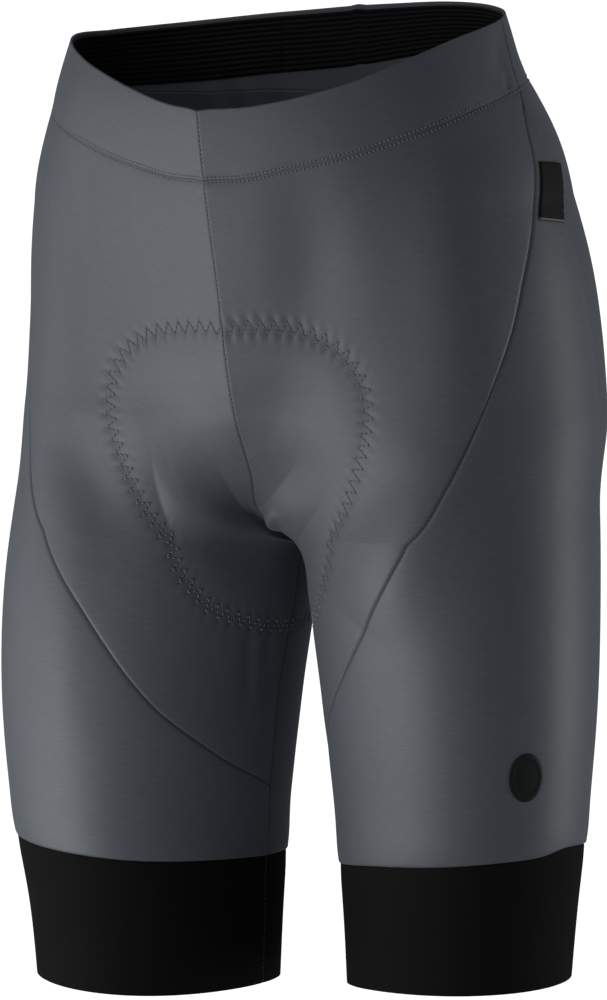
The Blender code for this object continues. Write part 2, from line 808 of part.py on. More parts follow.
def thigh_badge(name, material):
    wide, high = local_scale(LEFT, BADGE_ACROSS, BADGE_DOWN)
    rings = (0.0, 0.5, 1.0)
    spokes = 28
    across = [BADGE_ACROSS]
    down = [BADGE_DOWN]
    for ring in rings[1:]:
        for k in range(spokes):
            turn = 2 * math.pi * k / spokes
            across.append(BADGE_ACROSS + ring * BADGE_HALF_WIDTH * math.cos(turn) / wide)
            down.append(BADGE_DOWN + ring * BADGE_HALF_HEIGHT * math.sin(turn) / high)
    points, out = place(LEFT, np.array(across), np.array(down))
    triangles = []
    for k in range(spokes):
        after = (k + 1) % spokes
        triangles.append((0, 1 + k, 1 + after))
        inner, outer = 1 + k, 1 + spokes + k
        inner_after, outer_after = 1 + after, 1 + spokes + after
        triangles += [(inner, outer, outer_after), (inner, outer_after, inner_after)]
    loop = [1 + spokes + k for k in range(spokes)]
    far = points + (LAYER_GAP + BADGE_THICKNESS) * out
    near = points + LAYER_GAP * out
    return closed_solid(name, far, near, triangles, loop, material)


def distance_to_line(points, line):
    """Distance on the flat sheet from each point to a path."""
    best = np.full(len(points), 1.0)
    for a, b in zip(line[:-1], line[1:]):
        edge = b - a
        share = np.clip((points - a) @ edge / (edge @ edge), 0, 1)
        gap = np.linalg.norm(points - a - share[:, None] * edge, axis=1)
        best = np.minimum(best, gap)
    return best


def pad_quarter(side, sheet_points, triangles, line, seam_across):
    """Triangles of one panel that lie within the pad's line, with their points and thickness."""
    edge = np.array([flat(a, d) for a, d in line])
    corner = flat(seam_across, CROTCH_DOWN)
    outline = np.vstack([edge, corner])
    flats = np.array([flat(a, d) for a, d in sheet_points])
    middles = np.array([flats[list(t)].mean(axis=0) for t in triangles])
    chosen = [t for t, kept in zip(triangles, inside_outline(middles, outline)) if kept]
    used = sorted({k for t in chosen for k in t})
    across = np.array([sheet_points[k][0] for k in used])
    down = np.array([sheet_points[k][1] for k in used])
    points, out = place(side, across, down)
    rise = ease(distance_to_line(flats[used], edge) / PAD_SLOPE_WIDTH)
    number_of = {k: n for n, k in enumerate(used)}
    return points, out, rise, [tuple(number_of[k] for k in t) for t in chosen]


def boundary_loop(triangles):
    """The one boundary of a set of triangles, in order."""
    after = {}
    edges = {(a, b) for t in triangles for a, b in ((t[0], t[1]), (t[1], t[2]), (t[2], t[0]))}
    for a, b in edges:
        if (b, a) not in edges:
            after[a] = b
    start = min(after)
    loop = [start]
    while after[loop[-1]] != start:
        loop.append(after[loop[-1]])
    return loop


def seat_pad(name, quarters, material):
    """The foam pad inside, one piece across the front, the inner legs and the back."""
    merged = {}
    points, out, rise, triangles = [], [], [], []
    for side, part in quarters:
        numbers = []
        for point, way, height in zip(part[0], part[1], part[2]):
            key = tuple(np.round(point, 6))
            if key not in merged:
                merged[key] = len(points)
                points.append(point)
                out.append(way)
                rise.append(height)
            numbers.append(merged[key])
        for a, b, c in part[3]:
            face = (numbers[a], numbers[b], numbers[c])
            triangles.append(face if side == LEFT else face[::-1])
    points = np.array(points)
    out = np.array(out)
    depth = PAD_EDGE + PAD_CORE * np.array(rise)
    far = points - (CLOTH + LAYER_GAP) * out
    near = far - depth[:, None] * out
    return closed_solid(name, far, near, triangles, boundary_loop(triangles), material)


def build_shorts():
    grey = grey_jersey()
    knit = black_knit()
    elastic = black_elastic()
    quarters = []
    for side, word in ((RIGHT, "right"), (LEFT, "left")):
        front_line = pad_front_line()
        front = panel("front_" + word, side, front_outline(side), front_line, grey)
        quarters.append((side, pad_quarter(side, *front, front_line, 0.0)))
        back_line = pad_back_line()
        back = panel("back_" + word, side, back_outline(side), back_line, grey)
        quarters.append((side, pad_quarter(side, *back, back_line, 1.0)))
        front_band("waistband_front_" + word, side, grey)
        hem_band("hem_band_" + word, side, knit)
    back_band("waistband_back", grey)
    right = elastic_columns(RIGHT, ELASTIC_START, ELASTIC_JOIN, ELASTIC_STEPS_RIGHT)
    middle = elastic_columns(RIGHT, ELASTIC_JOIN, 1.0, ELASTIC_STEPS_MIDDLE)
    left = elastic_columns(LEFT, 1.0, ELASTIC_END, ELASTIC_STEPS_LEFT)
    back_elastic("elastic_back_right", right, elastic)
    back_elastic("elastic_back_left", middle + left[1:], elastic)
    seat_pad("seat_pad", quarters, pad_fabric())
    side_label("side_label", label_weave())
    thigh_badge("thigh_badge", badge_rubber())


for old in list(bpy.data.objects):
    bpy.data.objects.remove(old, do_unlink=True)
build_shorts()
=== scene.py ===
# Looks of the cycling shorts: knit cloth shells, sewing, pad, label, badge, light and camera.
# Metres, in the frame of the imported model. The wearer's left is +X and the front faces -Y.

import math

import bmesh
import bpy
import numpy as np
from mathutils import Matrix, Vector
from mathutils.bvhtree import BVHTree
from mathutils.kdtree import KDTree


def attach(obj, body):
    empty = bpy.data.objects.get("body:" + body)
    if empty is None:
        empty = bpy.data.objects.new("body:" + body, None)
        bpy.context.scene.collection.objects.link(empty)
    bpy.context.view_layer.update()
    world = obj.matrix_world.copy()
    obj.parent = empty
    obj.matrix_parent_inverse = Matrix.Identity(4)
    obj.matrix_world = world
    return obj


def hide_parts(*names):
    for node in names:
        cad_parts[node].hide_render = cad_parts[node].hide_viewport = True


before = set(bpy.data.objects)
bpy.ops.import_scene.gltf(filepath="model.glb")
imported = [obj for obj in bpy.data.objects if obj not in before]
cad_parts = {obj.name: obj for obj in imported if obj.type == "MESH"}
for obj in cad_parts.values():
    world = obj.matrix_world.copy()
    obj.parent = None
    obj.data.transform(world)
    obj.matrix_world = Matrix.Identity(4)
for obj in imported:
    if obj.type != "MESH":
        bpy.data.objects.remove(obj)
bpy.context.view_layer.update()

# Sizes of the form
CLOTH = 0.0012
HEM_CLOTH = 0.0014
ELASTIC = 0.0010
LAYER_GAP = 0.0003
PAD_EDGE = 0.0015
PAD_CORE = 0.0065
PAD_SLOPE_WIDTH = 0.022
LABEL_WIDTH = 0.018
LABEL_HEIGHT = 0.030
BADGE_HALF_WIDTH = 0.0100
BADGE_HALF_HEIGHT = 0.0138
BADGE_THICKNESS = 0.0008

# Roundings of the form
TORSO_FLOOR = -0.190
TORSO_DEPTH = 0.066
BLEND = 0.030
LEG_BLEND = 0.006
HEM_LEVEL = -0.5093
HEM_SLOPE = 0.045

# Stance: one leg a little ahead, the waist a little higher on the left, the belly a little to the right
STRIDE = 0.030
STRIDE_TOP = -0.10
STRIDE_END = -0.50
STRIDE_WIDTH = 0.045
ROLL = 0.035
ROLL_BACK = 0.55
ROLL_END = -0.20
LEG_REACH = 0.085
SWAY = -0.0017
SWAY_LEVEL = -0.075
SWAY_HEIGHT = 0.065

# The front seam swings to the right just above the legs: how far, where, and over what size
SWING = -0.0098
SWING_Y = -0.014
SWING_LEVEL = -0.246
SWING_REACH = 0.0170
SWING_WIDTH = 0.0240

# Places inside the form that rays start from
HEART = (0.0, 0.012, -0.160)
WAIST_MIDDLE = (0.045, 0.006)
THIGH_MIDDLE = (0.088, 0.022)
THIGH_RISE = 0.012

# Flat sheet of one half: across from 0 at the centre front to 1 at the centre back,
# down from 0 at the waist to 1 at the leg's lower edge
CROTCH_DOWN = 0.50
FRONT_SEAM_END = 0.785
SHEET_WIDTH = 0.46
SHEET_LENGTH = 0.53
TABLE_STEPS = 180

# Torso: level, y of its middle, half width, reach to the front, reach to the back, squareness
TORSO = (
    (0.060, 0.006, 0.105, 0.095, 0.070, 2.10),
    (0.020, 0.006, 0.122, 0.095, 0.073, 2.10),
    (-0.022, 0.005, 0.1370, 0.094, 0.0785, 2.10),
    (-0.065, 0.012, 0.1482, 0.0925, 0.0855, 2.10),
    (-0.107, 0.023, 0.156, 0.094, 0.0885, 2.15),
    (-0.150, 0.032, 0.1545, 0.0945, 0.087, 2.20),
    (-0.190, 0.035, 0.1530, 0.089, 0.082, 2.20),
    (-0.235, 0.029, 0.1520, 0.074, 0.076, 2.20),
    (-0.300, 0.024, 0.150, 0.060, 0.070, 2.20),
)

LEG_TWIST = math.radians(150)
# Left leg: level, x and y of its middle, long radius, short radius
LEG = (
    (-0.080, 0.0800, 0.0220, 0.0660, 0.0620),
    (-0.140, 0.0840, 0.0260, 0.0745, 0.0715),
    (-0.190, 0.0865, 0.0260, 0.0780, 0.0742),
    (-0.240, 0.0880, 0.0232, 0.0825, 0.0752),
    (-0.290, 0.0888, 0.0200, 0.0850, 0.0740),
    (-0.350, 0.0908, 0.0180, 0.0815, 0.0695),
    (-0.410, 0.0895, 0.0185, 0.0752, 0.0638),
    (-0.470, 0.0848, 0.0215, 0.0673, 0.0588),
    (-0.530, 0.0808, 0.0225, 0.0623, 0.0548),
)

# Waist edge: angle from the centre front in degrees, height
WAIST_EDGE = (
    (0, -0.0250), (12, -0.0228), (25, -0.0165), (40, -0.0073), (57, 0.0035), (76, 0.0130),
    (90, 0.0162), (109, 0.0204), (137, 0.0236), (159, 0.0242), (180, 0.0247),
)

# How far the waist's edge is pulled down into the band: across, down on the right, down on the left
WAIST_PULL = (
    (0.00, 0.0020, 0.0020), (0.05, 0.0020, 0.0030), (0.10, 0.0020, 0.0060), (0.15, 0.0020, 0.0090),
    (0.20, 0.0020, 0.0110), (0.25, 0.0020, 0.0118), (0.30, 0.0014, 0.0100), (0.35, 0.0004, 0.0070),
    (0.41, 0.0002, 0.0042), (0.48, 0.0004, 0.0028), (0.55, 0.0008, 0.0012), (1.00, 0.0008, 0.0008),
)
WAIST_PULL_END = 0.060

# Seam between waistband and panels: across, down
BAND_SEAM = (
    (0.00, 0.067), (0.10, 0.076), (0.22, 0.084), (0.33, 0.082), (0.43, 0.074),
    (0.53, 0.067), (0.75, 0.070), (1.00, 0.072),
)
BAND_SIDE_TOP = 0.56
BAND_SIDE_BOTTOM = 0.53

# Seam from the side of the waistband over the thigh to the inseam: down, across right, across left
SIDE_SEAM = (
    (0.067, 0.530, 0.530), (0.110, 0.490, 0.490), (0.140, 0.475, 0.475), (0.190, 0.447, 0.445),
    (0.245, 0.415, 0.407), (0.290, 0.395, 0.382), (0.335, 0.375, 0.355), (0.400, 0.355, 0.321),
    (0.440, 0.347, 0.306), (0.485, 0.325, 0.290), (0.535, 0.284, 0.255), (0.575, 0.250, 0.224),
    (0.615, 0.218, 0.190), (0.660, 0.180, 0.143), (0.695, 0.145, 0.100), (0.725, 0.105, 0.064),
    (0.755, 0.060, 0.030), (0.785, 0.000, 0.000),
)

# Seam between panel and hem band: across, down on the right, down on the left
HEM_SEAM = (
    (0.00, 0.861, 0.868), (0.08, 0.857, 0.866), (0.18, 0.8535, 0.860), (0.28, 0.850, 0.855),
    (0.36, 0.8475, 0.850), (0.42, 0.846, 0.847), (0.455, 0.8455, 0.842), (0.50, 0.846, 0.844),
    (0.56, 0.8485, 0.850), (0.70, 0.856, 0.860), (0.88, 0.863, 0.870), (1.00, 0.861, 0.868),
)

# Pad outline: across from the front seam or the back seam, down
PAD_FRONT = (
    (0.000, 0.212), (0.040, 0.220), (0.075, 0.232), (0.110, 0.247), (0.145, 0.268), (0.170, 0.290),
    (0.186, 0.316), (0.192, 0.340), (0.190, 0.368), (0.182, 0.398), (0.174, 0.437), (0.166, 0.475),
    (0.155, 0.517), (0.130, 0.553), (0.105, 0.578), (0.070, 0.593), (0.035, 0.603), (0.000, 0.606),
)
PAD_BACK = (
    (0.000, 0.285), (0.050, 0.288), (0.100, 0.300), (0.145, 0.322), (0.175, 0.352), (0.185, 0.388),
    (0.180, 0.425), (0.168, 0.465), (0.152, 0.510), (0.126, 0.550), (0.090, 0.582), (0.045, 0.600),
    (0.000, 0.606),
)

# Elastic inside the waist: across, lower edge on the right, lower edge on the left
ELASTIC_EDGE = (
    (0.40, 0.0580, 0.0450), (0.60, 0.0590, 0.0450), (0.75, 0.0578, 0.0455), (0.88, 0.0543, 0.0465),
    (1.00, 0.0475, 0.0475),
)
ELASTIC_TOP = 0.0035
ELASTIC_START = 0.40
ELASTIC_JOIN = 0.866
ELASTIC_END = 0.50

# Label and badge on the wearer's left: across, down
LABEL_TOP_ACROSS = 0.482
LABEL_TOP_DOWN = 0.139
LABEL_OFFSET = 0.0038
LABEL_TURN = 0.25
BADGE_ACROSS = 0.390
BADGE_DOWN = 0.755

LEFT = 1
RIGHT = -1


# Form of the worn cloth

def curve(rows, column, at):
    """Smooth curve through one column of a table, read at a value of its first column."""
    rows = sorted(rows)
    levels = np.array([row[0] for row in rows])
    values = np.array([row[column] for row in rows])
    slopes = np.gradient(values, levels)
    at = np.clip(at, levels[0], levels[-1])
    below = np.clip(np.searchsorted(levels, at) - 1, 0, len(levels) - 2)
    step = levels[below + 1] - levels[below]
    u = (at - levels[below]) / step
    start = (2 * u ** 3 - 3 * u ** 2 + 1) * values[below] + (u ** 3 - 2 * u ** 2 + u) * step * slopes[below]
    end = (3 * u ** 2 - 2 * u ** 3) * values[below + 1] + (u ** 3 - u ** 2) * step * slopes[below + 1]
    return start + end


def side_curve(rows, side, at):
    """The same for a table with a column for each side."""
    return curve(rows, 2 if side == LEFT else 1, at)


def ease(u):
    u = np.clip(u, 0, 1)
    return u * u * (3 - 2 * u)


def unit(ways):
    return ways / (np.linalg.norm(ways, axis=-1, keepdims=True) + 1e-12)


def smooth_min(a, b, width):
    near = np.maximum(width - np.abs(a - b), 0) / width
    return np.minimum(a, b) - near * near * width / 4


def torso_field(x, y, z):
    """Below zero inside the torso."""
    half_width = curve(TORSO, 2, z)
    squareness = curve(TORSO, 5, z)
    forward = y - curve(TORSO, 1, z)
    depth = np.where(forward < 0, curve(TORSO, 3, z), curve(TORSO, 4, z))
    reach = (np.abs(x) / half_width) ** squareness + (np.abs(forward) / depth) ** squareness
    reach = reach ** (1 / squareness)
    under = np.maximum(TORSO_FLOOR - z, 0) / TORSO_DEPTH
    return (np.hypot(reach, under) - 1) * np.minimum(half_width, depth)


def leg_field(x, y, z):
    """Below zero inside the left leg."""
    dx = x - curve(LEG, 1, z)
    dy = y - curve(LEG, 2, z)
    short = curve(LEG, 4, z)
    along_long = dx * math.cos(LEG_TWIST) + dy * math.sin(LEG_TWIST)
    along_short = dy * math.cos(LEG_TWIST) - dx * math.sin(LEG_TWIST)
    reach = np.hypot(along_long / curve(LEG, 3, z), along_short / short)
    above = np.maximum(z - LEG[0][0], 0) / 0.06
    return (np.hypot(reach, above) - 1) * short


def field(points):
    x, y, z = points[..., 0], points[..., 1], points[..., 2]
    legs = smooth_min(leg_field(x, y, z), leg_field(-x, y, z), LEG_BLEND)
    return smooth_min(torso_field(x, y, z), legs, BLEND)


def outward(points, step=0.0002):
    """Unit direction out of the form."""
    sides = [field(points + step * axis) - field(points - step * axis) for axis in np.eye(3)]
    return unit(np.stack(sides, -1))


def waist_height(x, y):
    angle = np.degrees(np.arctan2(np.abs(x), 0.009 - y))
    return curve(WAIST_EDGE, 1, angle)


def stance(points, side):
    """Put a point of the straight left half where the held shorts have it, on either side."""
    x = side * points[..., 0]
    y = points[..., 1]
    z = points[..., 2]
    fall = np.clip((STRIDE_TOP - z) / (STRIDE_TOP - STRIDE_END), 0, 2)
    upper = ease((z - ROLL_END) / -ROLL_END)
    lean = upper * x + (1 - upper) * LEG_REACH * np.tanh(x / STRIDE_WIDTH)
    moved_y = y + STRIDE * fall ** 1.4 * np.tanh(x / STRIDE_WIDTH)
    moved_x = x + SWAY * np.exp(-((z - SWAY_LEVEL) / SWAY_HEIGHT) ** 2)
    moved_z = z + ROLL * lean + upper * ROLL_BACK * x * y
    off_swing = ((y - SWING_Y) ** 2 + (z - SWING_LEVEL) ** 2) / SWING_REACH ** 2 + (x / SWING_WIDTH) ** 2
    moved_x = moved_x + SWING * np.exp(-off_swing / 2)
    return np.stack([moved_x, moved_y, moved_z], -1)


def stance_normal(points, normals, side, step=0.0001):
    """Outward direction after the stance."""
    rows = [(stance(points + step * axis, side) - stance(points - step * axis, side)) / (2 * step)
            for axis in np.eye(3)]
    jacobian = np.stack(rows, -1)
    return unit(np.linalg.solve(np.swapaxes(jacobian, -1, -2), normals[..., None])[..., 0])


def reach_surface(start, way, far=0.35, steps=24):
    """Points where rays from inside one half leave the form or meet the middle plane."""
    inward = way[..., 0] < -1e-9
    wall = np.where(inward, start[..., 0] / np.where(inward, -way[..., 0], 1.0), far)
    low = np.zeros(start.shape[:-1])
    high = np.minimum(far, np.maximum(wall, 0.001))
    for _ in range(steps):
        middle = (low + high) / 2
        inside = field(start + way * middle[..., None]) < 0
        low = np.where(inside, middle, low)
        high = np.where(inside, high, middle)
    return start + way * high[..., None]


def run_along(points):
    """Distance along a path at each of its points."""
    steps = np.linalg.norm(np.diff(points, axis=0), axis=1)
    return np.concatenate([[0], np.cumsum(steps)])


def read_along(wanted, run, values):
    """Vectors along a path, read at wanted distances."""
    return np.stack([np.interp(wanted, run, values[:, axis]) for axis in range(3)], -1)


def even_points(points, count):
    """The same path with evenly spaced points."""
    run = run_along(points)
    return read_along(np.linspace(0, run[-1], count), run, points)


def middle_seams():
    """Centre front and centre back lines, each from the waist to the lowest point between the legs."""
    turn = np.radians(np.linspace(-72, 262, 400))
    way = np.stack([np.zeros(400), -np.cos(turn), -np.sin(turn)], -1)
    loop = reach_surface(np.broadcast_to(np.array(HEART), way.shape), way)
    lowest = int(np.argmin(loop[:, 2]))

    def cut(part, level):
        over = int(np.argmax(part[:, 2] > level))
        share = (level - part[over - 1, 2]) / (part[over, 2] - part[over - 1, 2])
        edge = part[over - 1] + share * (part[over] - part[over - 1])
        return np.vstack([part[:over], edge])[::-1]

    return cut(loop[:lowest + 1][::-1], WAIST_EDGE[0][1]), cut(loop[lowest:], WAIST_EDGE[-1][1])


def straight_sheet(steps=TABLE_STEPS, rays=240):
    """Points of the left half before the stance, by row down and column across."""
    front, back = middle_seams()
    crotch = front[-1]
    close = int(round(CROTCH_DOWN * steps))
    front = even_points(front, close + 1)
    back = even_points(back, close + 1)
    thigh_level = crotch[2] + THIGH_RISE
    starts = np.zeros((steps + 1, rays, 3))
    ways = np.zeros((steps + 1, rays, 3))
    for row in range(steps + 1):
        if row <= close:
            share = row / close
            middle = [a + (b - a) * ease(share) for a, b in zip(WAIST_MIDDLE, THIGH_MIDDLE)]
            centre = np.array([*middle, share * thigh_level])
            to_front = front[row] - centre
            to_back = back[row] - centre
            first = math.atan2(to_front[1], to_front[0])
            last = math.atan2(to_back[1], to_back[0])
            if first > 0:
                first -= 2 * math.pi
            if last <= 0:
                last += 2 * math.pi
            turn = np.linspace(first, last, rays)
            level = np.stack([np.cos(turn), np.sin(turn), 0 * turn], -1)
            hit = reach_surface(np.broadcast_to(centre, level.shape), level, steps=14)
            far = np.hypot(hit[:, 0] - centre[0], hit[:, 1] - centre[1])
            far[:3] = far[3]
            far[-3:] = far[-4]
            slope = (1 - ease(share)) * waist_height(hit[:, 0], hit[:, 1]) / far
            front_slope = to_front[2] / np.hypot(to_front[0], to_front[1]) - slope[0]
            back_slope = to_back[2] / np.hypot(to_back[0], to_back[1]) - slope[-1]
        else:
            share = (row - close) / (steps - close)
            level_z = thigh_level + (HEM_LEVEL - thigh_level) * share
            centre = np.array([curve(LEG, 1, level_z), curve(LEG, 2, level_z), level_z])
            keep = (1 - min(1, share / 0.5)) ** 2
            to_crotch = crotch - np.array([*THIGH_MIDDLE, thigh_level])
            yaw = math.atan2(to_crotch[1], to_crotch[0]) % (2 * math.pi)
            first = math.pi + (yaw - math.pi) * keep - 2 * math.pi
            turn = np.linspace(first, first + 2 * math.pi, rays)
            slope = HEM_SLOPE * share * np.cos(turn)
            front_slope = to_crotch[2] / np.hypot(to_crotch[0], to_crotch[1]) * keep
            back_slope = front_slope
        u = np.linspace(0, 1, rays)
        slope = slope + np.clip(1 - 2 * u, 0, 1) ** 2 * front_slope
        slope = slope + np.clip(2 * u - 1, 0, 1) ** 2 * back_slope
        ways[row] = unit(np.stack([np.cos(turn), np.sin(turn), slope], -1))
        starts[row] = centre
    hits = reach_surface(starts, ways)
    sheet = np.stack([even_points(row, steps + 1) for row in hits])
    sheet[:close + 1, 0] = front
    sheet[:close + 1, -1] = back
    sheet[close + 1:, -1] = sheet[close + 1:, 0]
    return sheet


STRAIGHT = straight_sheet()


# Fine sizes of the looks

MARKS = ("row_count", "row_off", "seam_off", "zigzag_count", "pad_off")
TWIN_GAP = 0.0030
TWIN_PITCH = 0.0023
SEAM_STITCH = 0.0024
LOOK_AHEAD = 0.0006
LINE_STEP = 0.001
ZIGZAG_PITCH = 0.0072
ZIGZAG_REACH = 0.0038
ZIGZAG_PER_RUN = 3
ZIGZAG_TRIM = 0.12
STITCH_SIDES = 6
STITCH_SHARE = 0.66
TWIN_THREAD = 0.00032
THREAD = 0.00026
PAD_THREAD = 0.00036
THREAD_RISE = 0.00022
STITCH_RUNS = ((0.0, -0.9, 0.75), (0.25, 0.3, 1.0), (0.75, 0.3, 1.0), (1.0, -0.9, 0.75))
GROOVES = {
    "thigh": (0.00060, 0.0010),
    "waistband": (0.00030, 0.0022),
    "hem": (0.00040, 0.0009),
    "inseam": (0.00035, 0.0008),
    "front": (0.00030, 0.0007),
    "back": (0.00060, 0.0010),
    "band_side": (0.00025, 0.0008),
}
SEAM_PULL = 0.00025
SEAM_PULL_WIDTH = 0.006
PUCKER = 0.00020
PUCKER_AT = 0.0046
PUCKER_WIDTH = 0.0028
PAD_GROOVE = 0.00035
PAD_GROOVE_WIDTH = 0.004
PAD_PUFF = 0.0008
PAD_PUFF_WIDTH = 0.018
HEM_SWELL = 0.0007
HEM_SWELL_UP = 0.004
HEM_SWELL_WIDTH = 0.018
HEM_PINCH = -0.0002
HEM_PINCH_WIDTH = 0.010
PAD_RINGS = 44
PAD_SPOKES = 60
PAD_CHANNEL = 0.0016
PAD_CHANNEL_AT = 0.030
PAD_CHANNEL_WIDTH = 0.0035
LABEL_SHOWN = 0.00045
LABEL_LIFT = 0.0010
LABEL_LINE_UP = 0.0008

FRONT_RIDGE = 0.0054
FRONT_RIDGE_WIDTH = 0.032
FRONT_RIDGE_END = 0.34
FRONT_RIDGE_FADE = 0.08

STEP_GROWTH = 0.25
EDGE_STEP = 0.0004
PANEL_STEP = 0.0016
FRONT_WIDTH = 0.244
FRONT_LENGTH = 0.38
BACK_STEP = 0.0024
BACK_WIDTH = 0.30
BACK_LENGTH = 0.43
BAND_STEP = 0.0018
BAND_WIDTH = 0.19
BAND_HEIGHT = 0.038
HEM_STEP = 0.0022
HEM_WIDTH = 0.375
HEM_HEIGHT = 0.072
RIM_ROUND = 0.3
ELASTIC_HEIGHT = 0.031
ELASTIC_STEP = 0.00048
ELASTIC_RIB = 0.00022
ELASTIC_RIB_PITCH = 0.0029
ELASTIC_LENGTH = 0.34

BADGE_SPOKES = 72
BADGE_SUNK = 0.0001
# Section of the badge from its middle out: share of its radius, share of its height
BADGE_SECTION = (
    (0.0, 0.80), (0.30, 0.80), (0.60, 0.80), (0.76, 0.80), (0.80, 0.98), (0.85, 1.00),
    (0.90, 0.82), (0.95, 0.75), (0.98, 0.60), (1.0, 0.30),
)

# Creases: side, lift, width, then places on the sheet as (across, down)
CREASES = (
    (RIGHT, 0.0060, 0.0240, (0.02, 0.428), (0.06, 0.443), (0.11, 0.450), (0.15, 0.446)),
    (RIGHT, -0.0018, 0.0180, (0.235, 0.36), (0.23, 0.42), (0.225, 0.48), (0.23, 0.54)),
    (RIGHT, -0.0022, 0.0042, (0.008, 0.415), (0.012, 0.445), (0.010, 0.475), (0.008, 0.500)),
    (RIGHT, 0.0009, 0.0030, (0.034, 0.474), (0.018, 0.492), (0.006, 0.510)),
    (RIGHT, -0.0010, 0.0042, (0.060, 0.590), (0.053, 0.640), (0.045, 0.700)),
    (RIGHT, -0.0012, 0.0040, (0.034, 0.565), (0.028, 0.630), (0.018, 0.710)),
    (RIGHT, -0.0009, 0.0036, (0.012, 0.600), (0.007, 0.660), (0.003, 0.730)),
    (RIGHT, -0.0016, 0.0120, (0.24, 0.07), (0.235, 0.15), (0.23, 0.25), (0.23, 0.36)),
    (RIGHT, 0.0025, 0.0180, (0.29, 0.40), (0.28, 0.50), (0.27, 0.62), (0.26, 0.74)),
    (LEFT, 0.0040, 0.0105, (0.034, 0.425), (0.022, 0.445), (0.016, 0.462)),
    (LEFT, 0.0038, 0.0220, (0.03, 0.41), (0.07, 0.45), (0.11, 0.47)),
    (LEFT, 0.0055, 0.0250, (0.308, 0.39), (0.29, 0.45), (0.265, 0.50), (0.235, 0.55), (0.20, 0.60)),
    (LEFT, -0.0025, 0.0260, (0.15, 0.06), (0.14, 0.16), (0.12, 0.28)),
    (LEFT, 0.0040, 0.0240, (0.345, 0.10), (0.325, 0.20), (0.315, 0.30), (0.308, 0.38)),
    (LEFT, -0.0014, 0.0080, (0.545, 0.004), (0.515, 0.030), (0.485, 0.058)),
    (LEFT, -0.0012, 0.0060, (0.500, 0.056), (0.512, 0.064)),
    (RIGHT, -0.0030, 0.0080, (0.742, 0.060), (0.768, 0.085), (0.790, 0.140)),
    (RIGHT, 0.0018, 0.0080, (0.765, 0.060), (0.790, 0.082), (0.810, 0.130)),
    (RIGHT, -0.0028, 0.0080, (0.790, 0.060), (0.815, 0.088), (0.836, 0.150)),
    (RIGHT, 0.0016, 0.0090, (0.820, 0.060), (0.846, 0.086), (0.866, 0.135)),
    (RIGHT, 0.0018, 0.0220, (0.70, 0.12), (0.68, 0.22), (0.66, 0.34)),
    (LEFT, -0.0018, 0.0160, (0.66, 0.10), (0.69, 0.20), (0.70, 0.31)),
    (RIGHT, -0.0018, 0.0120, (0.97, 0.515), (0.89, 0.545), (0.80, 0.560)),
    (LEFT, -0.0021, 0.0140, (0.97, 0.500), (0.88, 0.530), (0.78, 0.545)),
    (RIGHT, -0.0014, 0.0100, (0.92, 0.810), (0.80, 0.825), (0.68, 0.815)),
    (LEFT, -0.0016, 0.0110, (0.90, 0.825), (0.81, 0.800), (0.70, 0.805)),
)


# Reading the form finely

def cubic_weights(share):
    """Weights of four neighbours for a smooth curve through them."""
    return (
        (-share + 2 * share ** 2 - share ** 3) / 2,
        (2 - 5 * share ** 2 + 3 * share ** 3) / 2,
        (share + 4 * share ** 2 - 3 * share ** 3) / 2,
        (share ** 3 - share ** 2) / 2,
    )


def read_smoothly(table, across, down):
    column = np.clip(np.asarray(across, float) * TABLE_STEPS, 0, TABLE_STEPS)
    row = np.clip(np.asarray(down, float) * TABLE_STEPS, 0, TABLE_STEPS)
    i = np.minimum(row.astype(int), TABLE_STEPS - 1)
    j = np.minimum(column.astype(int), TABLE_STEPS - 1)
    total = 0
    for di, row_weight in enumerate(cubic_weights(row - i)):
        for dj, column_weight in enumerate(cubic_weights(column - j)):
            near = table[np.clip(i + di - 1, 0, TABLE_STEPS), np.clip(j + dj - 1, 0, TABLE_STEPS)]
            total = total + near * (row_weight * column_weight)[..., None]
    return total


def pulled(side, across, down):
    """Row of the straight sheet for a row of the worn one, whose waist edge is pulled down in front."""
    return down + side_curve(WAIST_PULL, side, across) * (1 - ease(down / WAIST_PULL_END))


def place(side, across, down):
    """Points on the outer face of the cloth and their outward directions."""
    points = read_smoothly(STRAIGHT, across, pulled(side, across, down))
    for _ in range(2):
        way = outward(points)
        height = field(points)
        near = np.clip(1.5 - np.abs(height) / 0.0004, 0, 1)
        points = points - (height * near)[..., None] * way
    way = outward(points)
    return stance(points, side), stance_normal(points, way, side)


# Distances to lines on the cloth

class SewnLine:
    """A line sewn on the cloth, as close points with their run along it."""

    def __init__(self, side, across, down):
        self.points, self.out = place(side, np.asarray(across), np.asarray(down))
        self.run = run_along(self.points)

    def length(self):
        return self.run[-1]

    def stitch_step(self, pitch):
        """The even step nearest to a pitch that divides the whole line."""
        return self.length() / max(1, round(self.length() / pitch))

    def at(self, run):
        """Point, outward direction and forward direction at a run along the line."""
        run = np.asarray(run, float)
        point = read_along(run, self.run, self.points)
        ahead = read_along(run + LOOK_AHEAD, self.run, self.points)
        behind = read_along(run - LOOK_AHEAD, self.run, self.points)
        return point, unit(read_along(run, self.run, self.out)), unit(ahead - behind)


def evenly(a, b, step):
    return np.linspace(a, b, max(2, int(math.ceil(abs(b - a) / step)) + 1))


def smooth_path(points, step=0.0012):
    """A smooth path on the sheet through a few places, as close places."""
    points = np.array(points, float)
    steps = np.diff(points, axis=0) * (SHEET_WIDTH, SHEET_LENGTH)
    at = np.concatenate([[0], np.cumsum(np.hypot(*steps.T))])
    wanted = evenly(0, at[-1], step)
    rows = [(at[k], *points[k]) for k in range(len(at))]
    return curve(rows, 1, wanted), curve(rows, 2, wanted)


def side_across(side, down):
    """Across of the seam over the thigh at a level."""
    return np.where(down < FRONT_SEAM_END, side_curve(SIDE_SEAM, side, down), 0.0)


def band_down(across):
    return curve(BAND_SEAM, 1, across)


